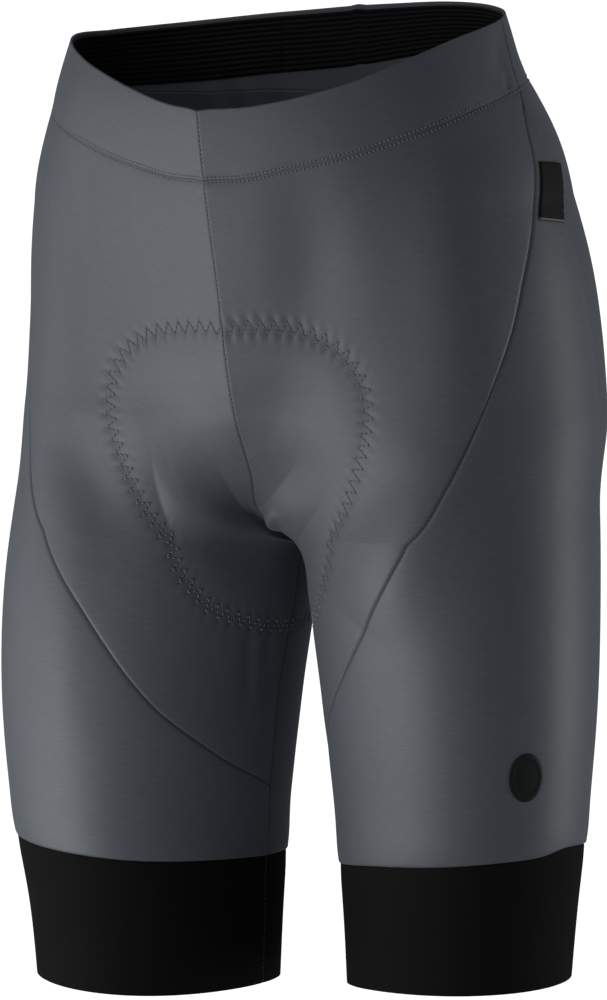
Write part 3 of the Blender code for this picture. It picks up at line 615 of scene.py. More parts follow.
def hem_down(side, across):
    return side_curve(HEM_SEAM, side, across)


def sewn_lines(side):
    """Every seam of one half."""
    down = evenly(SIDE_SEAM[0][0], FRONT_SEAM_END, 0.0008)
    across = evenly(0.0, 1.0, 0.0010)
    leg = evenly(CROTCH_DOWN, 1.0, 0.0010)
    band = evenly(0.0, 1.0, 0.05)
    side_top = BAND_SIDE_TOP + (BAND_SIDE_BOTTOM - BAND_SIDE_TOP) * band
    rise = evenly(0.0, CROTCH_DOWN, 0.0008)
    return {
        "thigh": SewnLine(side, side_across(side, down), down),
        "waistband": SewnLine(side, across, band_down(across)),
        "hem": SewnLine(side, across, hem_down(side, across)),
        "inseam": SewnLine(side, 0 * leg, leg),
        "front": SewnLine(side, 0 * rise, rise),
        "back": SewnLine(side, 0 * rise + 1, rise),
        "band_side": SewnLine(side, side_top, band * band_down(np.array(BAND_SIDE_BOTTOM))),
    }


LINES = {side: sewn_lines(side) for side in (LEFT, RIGHT)}


def nearest(points, lines):
    """For each point the nearest line's number, the run on it, and the signed distance from it."""
    owner = np.repeat(np.arange(len(lines)), [len(line.points) for line in lines])
    owner_step = np.concatenate([np.arange(len(line.points)) for line in lines])
    tree = KDTree(len(owner))
    for k, point in enumerate(np.vstack([line.points for line in lines])):
        tree.insert(point, k)
    tree.balance()
    flat_points = points.reshape(-1, 3)
    found = np.array([tree.find(point)[1] for point in flat_points])
    number, step = owner[found], owner_step[found]
    off = np.zeros(len(flat_points))
    run = np.zeros(len(flat_points))
    for n, line in enumerate(lines):
        mine = number == n
        at = step[mine]
        point, out, forward = line.at(line.run[at])
        reach = flat_points[mine] - point
        ahead = np.sum(reach * forward, axis=1)
        side_way = np.cross(out, forward)
        across = np.sum(reach * side_way, axis=1)
        ahead = np.clip(ahead, -LINE_STEP, LINE_STEP)
        gap = np.sqrt(np.maximum(np.sum(reach ** 2, axis=1) - ahead ** 2, 0))
        off[mine] = np.copysign(gap, across)
        run[mine] = line.run[at] + ahead
    shape = points.shape[:-1]
    return number.reshape(shape), run.reshape(shape), off.reshape(shape)


# The pad's zigzag line: front and back of each half, one run all round

def pad_line():
    """Sheet places of the whole line round the pad: side, across, down."""
    front = smooth_path(PAD_FRONT)
    back = smooth_path(PAD_BACK)
    parts = []
    for side, (across, down), backwards in (
        (LEFT, front, False), (LEFT, (1 - back[0], back[1]), True),
        (RIGHT, (1 - back[0], back[1]), False), (RIGHT, front, True),
    ):
        order = slice(None, None, -1) if backwards else slice(None)
        parts.append((side, across[order], down[order]))
    return parts


class PadLine(SewnLine):
    """The closed line round the pad. Its side direction points away from the pad."""

    def __init__(self):
        points, out = [], []
        for side, across, down in pad_line():
            part_points, part_out = place(side, across, down)
            points.append(part_points[:-1])
            out.append(part_out[:-1])
        points.append(points[0][:1])
        out.append(out[0][:1])
        self.points = np.vstack(points)
        self.out = np.vstack(out)
        self.run = run_along(self.points)


PAD_LINE = PadLine()
ZIGZAG_COUNT = 2 * int(round(PAD_LINE.length() / ZIGZAG_PITCH / 2))
ZIGZAG_STEP = PAD_LINE.length() / ZIGZAG_COUNT


def zigzag(run):
    """Distance of the zigzag from the middle of its line, at a run."""
    share = np.mod(run / ZIGZAG_STEP, 1.0)
    return ZIGZAG_REACH * (4 * np.abs(share - 0.5) - 1)


# Relief of the worn cloth over the smooth form

SEAM_KINDS = ("thigh", "waistband", "hem", "inseam", "front", "back", "band_side")


def bump(distance, width):
    return np.exp(-(distance / width) ** 2)


def crease_lift(side, across, down):
    """Soft troughs and ridges at listed places."""
    total = np.zeros(across.shape)
    for row in CREASES:
        crease_side, lift, width = row[:3]
        path = np.stack(smooth_path(row[3:], 0.004), -1) * (SHEET_WIDTH, SHEET_LENGTH)
        views = []
        if side == crease_side:
            views += [(across, down, down > -1)]
            views += [(across - 1, down, down > CROTCH_DOWN), (across + 1, down, down > CROTCH_DOWN)]
        else:
            views += [(-across, down, down < CROTCH_DOWN), (2 - across, down, down < CROTCH_DOWN)]
        for view_across, view_down, valid in views:
            x = view_across * SHEET_WIDTH
            y = view_down * SHEET_LENGTH
            reach = 3 * width
            near = valid & (x > path[:, 0].min() - reach) & (x < path[:, 0].max() + reach)
            near &= (y > path[:, 1].min() - reach) & (y < path[:, 1].max() + reach)
            if not near.any():
                continue
            spots = np.stack([x[near], y[near]], -1)
            best = np.full(len(spots), 1.0)
            share = np.zeros(len(spots))
            for k in range(len(path) - 1):
                edge = path[k + 1] - path[k]
                part = np.clip((spots - path[k]) @ edge / (edge @ edge + 1e-12), 0, 1)
                gap = np.linalg.norm(spots - path[k] - part[:, None] * edge, axis=1)
                closer = gap < best
                best = np.where(closer, gap, best)
                share = np.where(closer, (k + part) / (len(path) - 1), share)
            taper = np.sin(np.pi * np.clip(share, 0.02, 0.98)) ** 0.8
            total[near] += lift * taper * bump(best, width)
    return total


def hem_swell(side, across, down):
    """The panel stands a little proud just above the tight hem band, and the band's top is drawn in."""
    above = (hem_down(side, across) - down) * SHEET_LENGTH
    panel = HEM_SWELL * bump(above - HEM_SWELL_UP, HEM_SWELL_WIDTH)
    band = HEM_PINCH * bump(above, HEM_PINCH_WIDTH)
    return np.where(above > 0, panel, band)


def relief(side, across, down, points):
    """Lift of the cloth over the smooth form, and where each point lies by the seams and the pad's line."""
    lines = LINES[side]
    number, run, off = nearest(points, [lines[kind] for kind in SEAM_KINDS])
    depth = np.array([GROOVES[kind][0] for kind in SEAM_KINDS])[number]
    width = np.array([GROOVES[kind][1] for kind in SEAM_KINDS])[number]
    lift = -depth * bump(off, width) - SEAM_PULL * bump(off, SEAM_PULL_WIDTH)
    pitches = [TWIN_PITCH if kind == "waistband" else SEAM_STITCH for kind in SEAM_KINDS]
    steps = np.array([lines[kind].stitch_step(pitch) for kind, pitch in zip(SEAM_KINDS, pitches)])
    twin = number == SEAM_KINDS.index("waistband")
    row_off = np.where(twin, np.abs(off) - TWIN_GAP / 2, off)
    _, pad_run, pad_off = nearest(points, [PAD_LINE])
    turn = np.cos(2 * math.pi * pad_run / ZIGZAG_STEP)
    puckers = bump(pad_off + PUCKER_AT, PUCKER_WIDTH) - bump(pad_off - PUCKER_AT, PUCKER_WIDTH)
    lift = lift + PUCKER * turn * puckers
    lift = lift - PAD_GROOVE * bump(pad_off, PAD_GROOVE_WIDTH)
    lift = lift + PAD_PUFF * ease(-pad_off / PAD_PUFF_WIDTH)
    ridge = np.exp(-across * SHEET_WIDTH / FRONT_RIDGE_WIDTH)
    ridge = ridge * ease((FRONT_RIDGE_END - down) / FRONT_RIDGE_FADE)
    lift = lift + FRONT_RIDGE * ridge
    lift = lift + hem_swell(side, across, down) + crease_lift(side, across, down)
    marks = (run / steps[number], row_off, off, pad_run / ZIGZAG_STEP, pad_off)
    return lift, dict(zip(MARKS, marks))


# Grids of cloth

def graded(length, coarse, fine_first=EDGE_STEP, fine_last=EDGE_STEP):
    """Shares from 0 to 1, an even number of steps, closer together towards each end that has a fine step."""
    at = np.linspace(0, length, 3001)
    gap = np.full(at.shape, coarse)
    if fine_first:
        gap = np.minimum(gap, fine_first + STEP_GROWTH * at)
    if fine_last:
        gap = np.minimum(gap, fine_last + STEP_GROWTH * (length - at))
    density = (1 / gap[1:] + 1 / gap[:-1]) / 2
    steps = np.concatenate([[0], np.cumsum(density * np.diff(at))])
    count = 2 * math.ceil(steps[-1] / 2)
    return np.interp(np.linspace(0, steps[-1], count + 1), steps, at) / length


def panel_shares(width, length, step, last=EDGE_STEP):
    """Shares across a panel, as a row, and down it, as a column."""
    return graded(width, step)[None, :], graded(length, step, EDGE_STEP, last)[:, None]


class Cloth:
    """A grid of cloth on one half or joined from both, by row down and column across."""

    def __init__(self, across, down, side, lifted=True):
        self.uv = np.stack([side * across * SHEET_WIDTH, -down * SHEET_LENGTH], -1)
        base, self.out = place(side, across, down)
        if lifted:
            lift, self.marks = relief(side, across, down, base)
            self.points = base + lift[..., None] * self.out
        else:
            self.marks = {name: np.ones(across.shape) for name in MARKS}
            self.points = base

    def beside(self, other):
        """Joined to the mirrored columns of another grid that ends at the same line."""
        flipped = slice(-2, None, -1)
        self.uv = np.hstack([self.uv, other.uv[:, flipped]])
        self.out = np.hstack([self.out, other.out[:, flipped]])
        self.points = np.hstack([self.points, other.points[:, flipped]])
        self.marks = {name: np.hstack([self.marks[name], other.marks[name][:, flipped]]) for name in MARKS}
        return self


def front_cloth(side):
    u, v = panel_shares(FRONT_WIDTH, FRONT_LENGTH, PANEL_STEP, PANEL_STEP)
    side_down = (1 - v) * SIDE_SEAM[0][0] + v * FRONT_SEAM_END
    across = u * side_across(side, side_down)
    top = band_down(u * BAND_SIDE_BOTTOM) - band_down(np.array(BAND_SIDE_BOTTOM)) + SIDE_SEAM[0][0]
    down = (1 - v) * top + v * FRONT_SEAM_END
    return Cloth(across, down, side)


def back_cloth(side):
    u, v = panel_shares(BACK_WIDTH, BACK_LENGTH, BACK_STEP)
    edge_down = (1 - v) * SIDE_SEAM[0][0] + v * hem_down(side, np.array(0.0))
    edge = side_across(side, edge_down)
    across = edge + u * (1 - edge)
    top = band_down(BAND_SIDE_BOTTOM + u * (1 - BAND_SIDE_BOTTOM))
    down = (1 - v) * top + v * hem_down(side, u)
    return Cloth(across, down, side)


def band_edge(v):
    return BAND_SIDE_TOP + (BAND_SIDE_BOTTOM - BAND_SIDE_TOP) * v


def front_band_cloth(side):
    u, v = panel_shares(BAND_WIDTH, BAND_HEIGHT, BAND_STEP)
    across = u * band_edge(v)
    return Cloth(across, v * band_down(across), side)


def back_half(side):
    u = graded(BAND_WIDTH, BAND_STEP, EDGE_STEP, 0)[None, :]
    v = graded(BAND_HEIGHT, BAND_STEP)[:, None]
    across = band_edge(v) + u * (1 - band_edge(v))
    return Cloth(across, v * band_down(across), side)


def back_band_cloth():
    return back_half(RIGHT).beside(back_half(LEFT))


def hem_cloth(side):
    u, v = panel_shares(HEM_WIDTH, HEM_HEIGHT, HEM_STEP)
    top = hem_down(side, u)
    down = top + (1 - top) * v
    return Cloth(u + 0 * down, down, side)


# Meshes

def border(rows, columns):
    """Point numbers round a grid."""
    number = np.arange(rows * columns).reshape(rows, columns)
    return np.concatenate([number[0], number[1:, -1], number[-1, -2::-1], number[-2:0:-1, 0]])


def grid_faces(rows, columns):
    number = np.arange(rows * columns).reshape(rows, columns)
    corners = (number[:-1, :-1], number[1:, :-1], number[1:, 1:], number[:-1, 1:])
    return np.stack([c.ravel() for c in corners], -1)


def add_object(name, data):
    piece = bpy.data.objects.new(name, data)
    bpy.context.scene.collection.objects.link(piece)
    return piece


def new_object(name, vertices, faces, material, uv=None, marks=None):
    mesh = bpy.data.meshes.new(name)
    mesh.from_pydata(vertices, [], faces)
    mesh.materials.append(material)
    mesh.shade_smooth()
    if uv is not None:
        corner = np.zeros(len(mesh.loops), int)
        mesh.loops.foreach_get("vertex_index", corner)
        layer = mesh.uv_layers.new(name="sheet")
        layer.data.foreach_set("uv", np.asarray(uv)[corner].ravel())
    for mark, values in (marks or {}).items():
        mesh.attributes.new(mark, "FLOAT", "POINT").data.foreach_set("value", np.asarray(values))
    return add_object(name, mesh)


def stand_for(piece, node):
    """Dress one solid of the part with a piece."""
    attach(piece, "root")
    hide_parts(node)


def shell(name, node, cloth, thickness, material, slot):
    """A thin closed shell: the shown face finely, the hidden face with every second row and column."""
    rows, columns = cloth.points.shape[:2]
    shown = cloth.points.reshape(-1, 3)
    hidden = (cloth.points - thickness * cloth.out)[::2, ::2]
    hidden_rows, hidden_columns = hidden.shape[:2]
    hidden = hidden.reshape(-1, 3)
    ring = border(rows, columns)
    hidden_ring = border(hidden_rows, hidden_columns)
    edge_points = shown[ring]
    ways = np.roll(edge_points, -1, axis=0) - np.roll(edge_points, 1, axis=0)
    ring_out = cloth.out.reshape(-1, 3)[ring]
    outward_way = unit(np.cross(ways, ring_out))
    inside = cloth.points[rows // 2, columns // 2]
    if np.sum((edge_points - inside) * outward_way) < 0:
        outward_way = -outward_way
    middle = edge_points - thickness / 2 * ring_out + RIM_ROUND * thickness * outward_way
    vertices = np.vstack([shown, middle, hidden])
    faces = [tuple(face) for face in grid_faces(rows, columns)]
    first_middle = len(shown)
    first_hidden = first_middle + len(ring)
    faces += [tuple(face[::-1] + first_hidden) for face in grid_faces(hidden_rows, hidden_columns)]
    count = len(ring)
    for k in range(count):
        after = (k + 1) % count
        faces.append((ring[k], ring[after], first_middle + after, first_middle + k))
    for k in range(len(hidden_ring)):
        a = first_middle + 2 * k
        b = first_middle + (2 * k + 1) % count
        c = first_middle + (2 * k + 2) % count
        p = first_hidden + hidden_ring[k]
        q = first_hidden + hidden_ring[(k + 1) % len(hidden_ring)]
        faces += [(a, b, p), (b, q, p), (b, c, q)]
    a, b, c = vertices[list(faces[rows * columns // 3][:3])]
    way = cloth.out.reshape(-1, 3)[faces[rows * columns // 3][0]]
    if np.dot(np.cross(b - a, c - a), way) < 0:
        faces = [face[::-1] for face in faces]
    flat_uv = cloth.uv.reshape(-1, 2)
    uv = np.vstack([flat_uv, flat_uv[ring], cloth.uv[::2, ::2].reshape(-1, 2)])
    marks = {}
    for mark, values in cloth.marks.items():
        flat = values.ravel()
        marks[mark] = np.concatenate([flat, flat[ring], np.ones(len(hidden))])
    piece = new_object(name, vertices, faces, material, uv, marks)
    stand_for(piece, node)


# Small solid pieces laid on the cloth

def closed_grid(name, near, far, material, uv):
    """A closed body between two grids of points."""
    rows, columns = near.shape[:2]
    vertices = np.vstack([far.reshape(-1, 3), near.reshape(-1, 3)])
    half = rows * columns
    faces = [tuple(face) for face in grid_faces(rows, columns)]
    faces += [tuple(face[::-1] + half) for face in grid_faces(rows, columns)]
    ring = border(rows, columns)
    for a, b in zip(ring, np.roll(ring, -1)):
        faces.append((b, a, a + half, b + half))
    return new_object(name, vertices, faces, material, np.vstack([uv.reshape(-1, 2)] * 2))


def face_outward(piece):
    """Turn the faces of a closed mesh outwards."""
    build = bmesh.new()
    build.from_mesh(piece.data)
    bmesh.ops.recalc_face_normals(build, faces=build.faces)
    if build.calc_volume(signed=True) < 0:
        bmesh.ops.reverse_faces(build, faces=build.faces)
    build.to_mesh(piece.data)
    build.free()


def round_body(name, top, bottom, material):
    """A closed body of rings round a middle, over and under, whose first rings are one point."""
    vertices, faces, rims = [], [], []
    for rings, order in ((top, 1), (bottom, -1)):
        middle = len(vertices)
        vertices += [rings[0, 0]] + list(rings[1:].reshape(-1, 3))
        number = middle + 1 + np.arange((len(rings) - 1) * rings.shape[1]).reshape(-1, rings.shape[1])
        after = np.roll(number, -1, axis=1)
        found = [(middle, b, a) for a, b in zip(number[0], after[0])]
        quads = (number[:-1], after[:-1], after[1:], number[1:])
        found += zip(*(corner.ravel() for corner in quads))
        faces += [face[::order] for face in found]
        rims.append((number[-1], after[-1]))
    faces += zip(*rims[0], *rims[1][::-1])
    piece = new_object(name, vertices, faces, material)
    face_outward(piece)
    return piece


def back_elastic(name, runs, material):
    """Ribbed elastic inside the waistband, in runs of side, first and last place across."""
    v = graded(ELASTIC_HEIGHT, ELASTIC_STEP, 0, 0)[:, None]
    cloth = None
    for side, start, end in runs:
        u = graded(abs(end - start) * ELASTIC_LENGTH, BAND_STEP, 0, 0)[None, :]
        across = start + (end - start) * u + 0 * v
        down = ELASTIC_TOP + (side_curve(ELASTIC_EDGE, side, across) - ELASTIC_TOP) * v
        strip = Cloth(across, down, side, False)
        strip.points = strip.points + crease_lift(side, across, down)[..., None] * strip.out
        cloth = strip if cloth is None else cloth.beside(strip)
    cloth.out = -cloth.out
    ribs = ELASTIC_RIB * np.sin(2 * math.pi * v * ELASTIC_HEIGHT / ELASTIC_RIB_PITCH)
    depth = CLOTH + LAYER_GAP + ELASTIC + ribs
    cloth.points = cloth.points + np.broadcast_to(depth, cloth.points.shape[:2])[..., None] * cloth.out
    shell("knit_" + name, name, cloth, ELASTIC, material, "black_elastic")


class Surface:
    """The shown faces of the cloth, to seat sewing on."""

    def __init__(self, cloths):
        vertices, faces, first = [], [], 0
        for cloth in cloths:
            rows, columns = cloth.points.shape[:2]
            vertices.append(cloth.points.reshape(-1, 3))
            faces.append(grid_faces(rows, columns) + first)
            first += rows * columns
        self.tree = BVHTree.FromPolygons(np.vstack(vertices).tolist(), np.vstack(faces).tolist())

    def seat(self, points):
        """The nearest places on the cloth."""
        found = [self.tree.find_nearest(Vector(point)) for point in points]
        return np.array([hit[0] for hit in found])


def stitches(name, surface, starts, ends, outs, radius, material):
    """Short threads from needle hole to needle hole, each bowed a little out of the cloth."""
    starts = surface.seat(starts)
    ends = surface.seat(ends)
    along_way = ends - starts
    forward = unit(along_way)
    aside = unit(np.cross(outs, forward))
    up = np.cross(forward, aside)
    rings = len(STITCH_RUNS)
    vertices = []
    for run, height, size in STITCH_RUNS:
        centre = starts + along_way * run + up * (height * THREAD_RISE)
        for k in range(STITCH_SIDES):
            turn = 2 * math.pi * (k + 0.5) / STITCH_SIDES
            swing = math.cos(turn) * aside + math.sin(turn) * up
            vertices.append(centre + radius * size * swing)
    vertices = np.stack(vertices, 1)
    count = len(starts)
    per = rings * STITCH_SIDES
    faces = []
    for ring in range(rings - 1):
        for k in range(STITCH_SIDES):
            after = (k + 1) % STITCH_SIDES
            a = ring * STITCH_SIDES
            b = a + STITCH_SIDES
            faces.append((a + k, a + after, b + after, b + k))
    faces.append(tuple(range(STITCH_SIDES - 1, -1, -1)))
    faces.append(tuple(range(per - STITCH_SIDES, per)))
    all_faces = [tuple(corner + per * n for corner in face) for n in range(count) for face in faces]
    tip = np.array([abs(2 * run - 1) for run, _, _ in STITCH_RUNS])
    tips = np.tile(np.repeat(tip, STITCH_SIDES), count)
    piece = new_object(name, vertices.reshape(-1, 3), all_faces, material, None, {"tip": tips})
    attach(piece, "root")


def row_ends(line, pitch, offset=0.0):
    """Start and end points of a row of stitches along a line, beside it by an offset."""
    step = line.stitch_step(pitch)
    start = step * (np.arange(round(line.length() / step)) + (1 - STITCH_SHARE) / 2)
    points = []
    for run in (start, start + step * STITCH_SHARE):
        point, out, forward = line.at(run)
        points.append(point + offset * np.cross(out, forward))
    _, out, _ = line.at(start + step * STITCH_SHARE / 2)
    return points[0], points[1], out


def stacked(rows):
    return [np.vstack([row[k] for row in rows]) for k in range(3)]


def zigzag_ends():
    """The stitches on each straight run of the zigzag."""
    starts, ends, outs = [], [], []
    for number in range(2 * ZIGZAG_COUNT * ZIGZAG_PER_RUN):
        a = number / ZIGZAG_PER_RUN * ZIGZAG_STEP / 2
        b = (number + 1) / ZIGZAG_PER_RUN * ZIGZAG_STEP / 2
        for run, keep in ((a + ZIGZAG_TRIM * (b - a), starts), (b - ZIGZAG_TRIM * (b - a), ends)):
            point, out, forward = PAD_LINE.at(run)
            keep.append(point + zigzag(run) * np.cross(out, forward))
        outs.append(PAD_LINE.at((a + b) / 2)[1])
    return np.array(starts), np.array(ends), np.array(outs)


def sew(surface, materials):
    """Every row of sewing on the outside."""
    grey, dark, slate = materials["thread"], materials["dark_thread"], materials["slate_thread"]
    twin, middle, thighs = [], [], []
    for side in (RIGHT, LEFT):
        lines = LINES[side]
        for offset in (-TWIN_GAP / 2, TWIN_GAP / 2):
            twin.append(row_ends(lines["waistband"], TWIN_PITCH, offset))
        for kind in ("inseam", "band_side") + (("front", "back") if side == RIGHT else ()):
            middle.append(row_ends(lines[kind], SEAM_STITCH))
        thighs.append(row_ends(lines["thigh"], SEAM_STITCH))
    stitches("sewing_waistband", surface, *stacked(twin), TWIN_THREAD, grey)
    stitches("sewing_middle", surface, *stacked(middle), THREAD, dark)
    stitches("sewing_thighs", surface, *stacked(thighs), THREAD, dark)
    stitches("sewing_pad", surface, *zigzag_ends(), PAD_THREAD, slate)


def seat_pad(material):
    """The foam pad inside, from its middle under the crotch out to its stitched edge."""
    shares = np.linspace(0, 1, PAD_RINGS + 1)
    tops, bottoms = [], []
    for side, across, down in pad_line():
        corner = 0.0 if across.max() < 0.5 else 1.0
        pick = np.linspace(0, len(across) - 1, PAD_SPOKES + 1).round().astype(int)
        a = corner + shares[:, None] * (across[pick] - corner)
        d = CROTCH_DOWN + shares[:, None] * (down[pick] - CROTCH_DOWN)
        points, out = place(side, a, d)
        points = points + crease_lift(side, a, d)[..., None] * out
        edge_gap = np.hypot((a - across[pick]) * SHEET_WIDTH, (d - down[pick]) * SHEET_LENGTH)
        from_middle = np.abs(a - corner) * SHEET_WIDTH
        core = ease(edge_gap / PAD_SLOPE_WIDTH)
        channel = PAD_CHANNEL * bump(from_middle - PAD_CHANNEL_AT, PAD_CHANNEL_WIDTH) * ease(edge_gap / 0.02)
        thickness = PAD_EDGE + PAD_CORE * core - channel
        top = points - (CLOTH + LAYER_GAP) * out
        tops.append(top[:, :-1])
        bottoms.append((top - thickness[..., None] * out)[:, :-1])
    top, bottom = np.concatenate(tops, axis=1), np.concatenate(bottoms, axis=1)
    piece = round_body("foam_pad", top, bottom, material)
    stand_for(piece, "seat_pad")


def local_scale(side, across, down):
    """Metres per unit of across and of down, at one place."""
    step = 0.01
    places = place(side, np.array([across - step, across + step, across, across]),
                   np.array([down, down, down - step, down + step]))[0]
    wide = np.linalg.norm(places[1] - places[0]) / (2 * step)
    high = np.linalg.norm(places[3] - places[2]) / (2 * step)
    return wide, high


def side_label(surface, materials):
    """Blank woven label held in the seam on the left, its free edge lifted a little."""
    wide, high = local_scale(LEFT, LABEL_TOP_ACROSS, LABEL_TOP_DOWN + 0.02)
    u = np.linspace(0, 1, 13)[None, :]
    v = np.linspace(0, 1, 31)[:, None]
    seam_down = LABEL_TOP_DOWN + v * LABEL_HEIGHT / high + 0 * u
    across = side_across(LEFT, seam_down) + (LABEL_OFFSET + u * LABEL_WIDTH) / wide
    down = seam_down + u * LABEL_TURN * LABEL_WIDTH / high
    points, out = place(LEFT, across, down)
    seated = surface.seat(points.reshape(-1, 3)).reshape(points.shape)
    lift = LAYER_GAP + LABEL_LIFT * u ** 1.5 * (0.7 + 0.3 * np.sin(2.2 * v + 0.6))
    near = seated + lift[..., None] * out
    far = near + LABEL_SHOWN * out
    uv = np.stack([u * LABEL_WIDTH + 0 * v, v * LABEL_HEIGHT + 0 * u], -1)
    piece = closed_grid("woven_label", near, far, materials["label"], uv)
    face_outward(piece)
    stand_for(piece, "side_label")


def thigh_badge(surface, materials):
    """Blank oval transfer with a soft edge and one plain raised ring."""
    wide, high = local_scale(LEFT, BADGE_ACROSS, BADGE_DOWN)
    turn = np.linspace(0, 2 * math.pi, BADGE_SPOKES, endpoint=False)[None, :]
    share = np.array([row[0] for row in BADGE_SECTION])[:, None]
    height = np.array([row[1] for row in BADGE_SECTION])[:, None]
    across = BADGE_ACROSS + share * BADGE_HALF_WIDTH * np.cos(turn) / wide
    down = BADGE_DOWN + share * BADGE_HALF_HEIGHT * np.sin(turn) / high
    points, out = place(LEFT, across, down)
    seated = surface.seat(points.reshape(-1, 3)).reshape(points.shape)
    shown = seated + (height * BADGE_THICKNESS)[..., None] * out
    under = (seated + BADGE_SUNK * out)[[0, -1]]
    piece = round_body("oval_badge", shown, under, materials["badge"])
    stand_for(piece, "thigh_badge")


# Materials

def new_material(name, **sockets):
    """A shader with constants in its sockets, each named by its words joined with low lines."""
    material = bpy.data.materials.new(name)
    material.use_nodes = True
    shader = material.node_tree.nodes["Principled BSDF"]
    for socket, value in sockets.items():
        shader.inputs[socket.replace("_", " ")].default_value = value
    return material, material.node_tree, shader


def node(tree, kind, **values):
    made = tree.nodes.new(kind)
    for key, value in values.items():
        setattr(made, key, value)
    return made


def feed(tree, socket, value):
    """Give a socket a colour, a number or another node's output."""
    if isinstance(value, tuple):
        socket.default_value = (*value, 1.0)
    elif isinstance(value, (int, float)):
        socket.default_value = value
    else:
        tree.links.new(value, socket)


def math_node(tree, operation, first, second=None):
    made = node(tree, "ShaderNodeMath", operation=operation)
    for socket, value in zip(made.inputs, (first, second)):
        if value is not None:
            feed(tree, socket, value)
    return made.outputs[0]


def mix_colours(tree, share, first, second):
    made = node(tree, "ShaderNodeMix", data_type="RGBA")
    for socket, value in ((made.inputs[0], share), (made.inputs[6], first), (made.inputs[7], second)):
        feed(tree, socket, value)
    return made.outputs[2]


def sheet_vector(tree, scale):
    """The flat sheet's own coordinates, stretched by a scale for each way."""
    place_on = node(tree, "ShaderNodeUVMap", uv_map="sheet")
    mapping = node(tree, "ShaderNodeMapping")
    mapping.inputs["Scale"].default_value = scale
    tree.links.new(place_on.outputs[0], mapping.inputs["Vector"])
    return mapping.outputs[0]


def noise(tree, vector, scale, detail=2.0):
    made = node(tree, "ShaderNodeTexNoise")
    made.inputs["Scale"].default_value = scale
    made.inputs["Detail"].default_value = detail
    tree.links.new(vector, made.inputs["Vector"])
    return made.outputs["Fac"]


def mark(tree, name):
    return node(tree, "ShaderNodeAttribute", attribute_name=name).outputs["Fac"]


def near_line(tree, distance, width):
    """1 on a line, falling to 0 at a width from it."""
    away = math_node(tree, "DIVIDE", math_node(tree, "ABSOLUTE", distance), width)
    return math_node(tree, "MAXIMUM", math_node(tree, "SUBTRACT", 1.0, away), 0.0)


def to_whole(tree, count):
    """Distance of a count from the nearest whole number."""
    whole = math_node(tree, "ROUND", count)
    return math_node(tree, "ABSOLUTE", math_node(tree, "SUBTRACT", count, whole))


def painted_seam_shade(tree):
    """Painted shade along the sewn rows and the seam's groove, darkest in the needle holes."""
    row = near_line(tree, mark(tree, "row_off"), ROW_SHADE_WIDTH)
    hole = near_line(tree, to_whole(tree, mark(tree, "row_count")), HOLE_SHARE)
    depth = math_node(tree, "ADD", math_node(tree, "MULTIPLY", hole, 0.6), 0.4)
    dotted = math_node(tree, "MULTIPLY", row, depth)
    join = near_line(tree, mark(tree, "seam_off"), JOIN_SHADE_WIDTH)
    return math_node(tree, "MAXIMUM", dotted, math_node(tree, "MULTIPLY", join, 0.35))


def painted_zigzag_shade(tree):
    """Painted shade under the zigzag thread, darkest in its needle holes."""
    count = mark(tree, "zigzag_count")
    wave = math_node(tree, "MULTIPLY", to_whole(tree, count), 4 * ZIGZAG_REACH)
    wave = math_node(tree, "SUBTRACT", ZIGZAG_REACH, wave)
    across = math_node(tree, "ABSOLUTE", math_node(tree, "SUBTRACT", mark(tree, "pad_off"), wave))
    slope = math.cos(math.atan(4 * ZIGZAG_REACH / ZIGZAG_PITCH))
    thread = near_line(tree, math_node(tree, "MULTIPLY", across, slope), THREAD_SHADE_WIDTH)
    holes = math_node(tree, "MULTIPLY", count, 2.0 * ZIGZAG_PER_RUN)
    hole = near_line(tree, to_whole(tree, holes), HOLE_SHARE)
    depth = math_node(tree, "ADD", math_node(tree, "MULTIPLY", hole, 0.65), 0.35)
    return math_node(tree, "MULTIPLY", thread, depth)


def bump_from(tree, shader, height, strength, distance):
    made = node(tree, "ShaderNodeBump")
    made.inputs["Strength"].default_value = strength
    made.inputs["Distance"].default_value = distance
    tree.links.new(height, made.inputs["Height"])
    tree.links.new(made.outputs["Normal"], shader.inputs["Normal"])


def jersey():
    """Slate satin stretch jersey: fine courses across, painted shade at the seams and under the pad's zigzag,
    paler inside.
    """
    material, tree, shader = new_material(
        "satin_jersey", Roughness=0.50, Sheen_Weight=0.15, Sheen_Roughness=0.45,
        Sheen_Tint=(0.75, 0.82, 0.90, 1.0))
    streaks = noise(tree, sheet_vector(tree, (110.0, 1050.0, 1.0)), 1.0, 3.0)
    patches = noise(tree, sheet_vector(tree, (40.0, 40.0, 1.0)), 1.0, 2.0)
    tone = mix_colours(tree, streaks, JERSEY_DARK, JERSEY_LIGHT)
    tone = mix_colours(tree, math_node(tree, "MULTIPLY", patches, 0.18), tone, JERSEY_DARK)
    # Painted shade of the sewing's grooves, needle holes and zigzag, mixed into the cloth's colour
    shade = math_node(tree, "MAXIMUM", painted_seam_shade(tree), painted_zigzag_shade(tree))
    tone = mix_colours(tree, shade, tone, PAINTED_STITCH_SHADE)
    hidden = math_node(tree, "GREATER_THAN", mark(tree, "seam_off"), 0.5)
    tone = mix_colours(tree, hidden, tone, JERSEY_INSIDE)
    tree.links.new(tone, shader.inputs["Base Color"])
    courses = noise(tree, sheet_vector(tree, (900.0, 2600.0, 1.0)), 1.0, 1.0)
    bump_from(tree, shader, courses, 0.30, 0.0003)
    return material


def knit():
    """Dull black elastic knit with fine upright ribs."""
    material, tree, shader = new_material(
        "black_knit", Roughness=0.80, Specular_IOR_Level=0.08, Sheen_Weight=0.01)
    ribs = noise(tree, sheet_vector(tree, (1500.0, 260.0, 1.0)), 1.0, 2.0)
    tree.links.new(mix_colours(tree, ribs, KNIT_DARK, KNIT_LIGHT), shader.inputs["Base Color"])
    bump_from(tree, shader, ribs, 0.35, 0.0003)
    return material


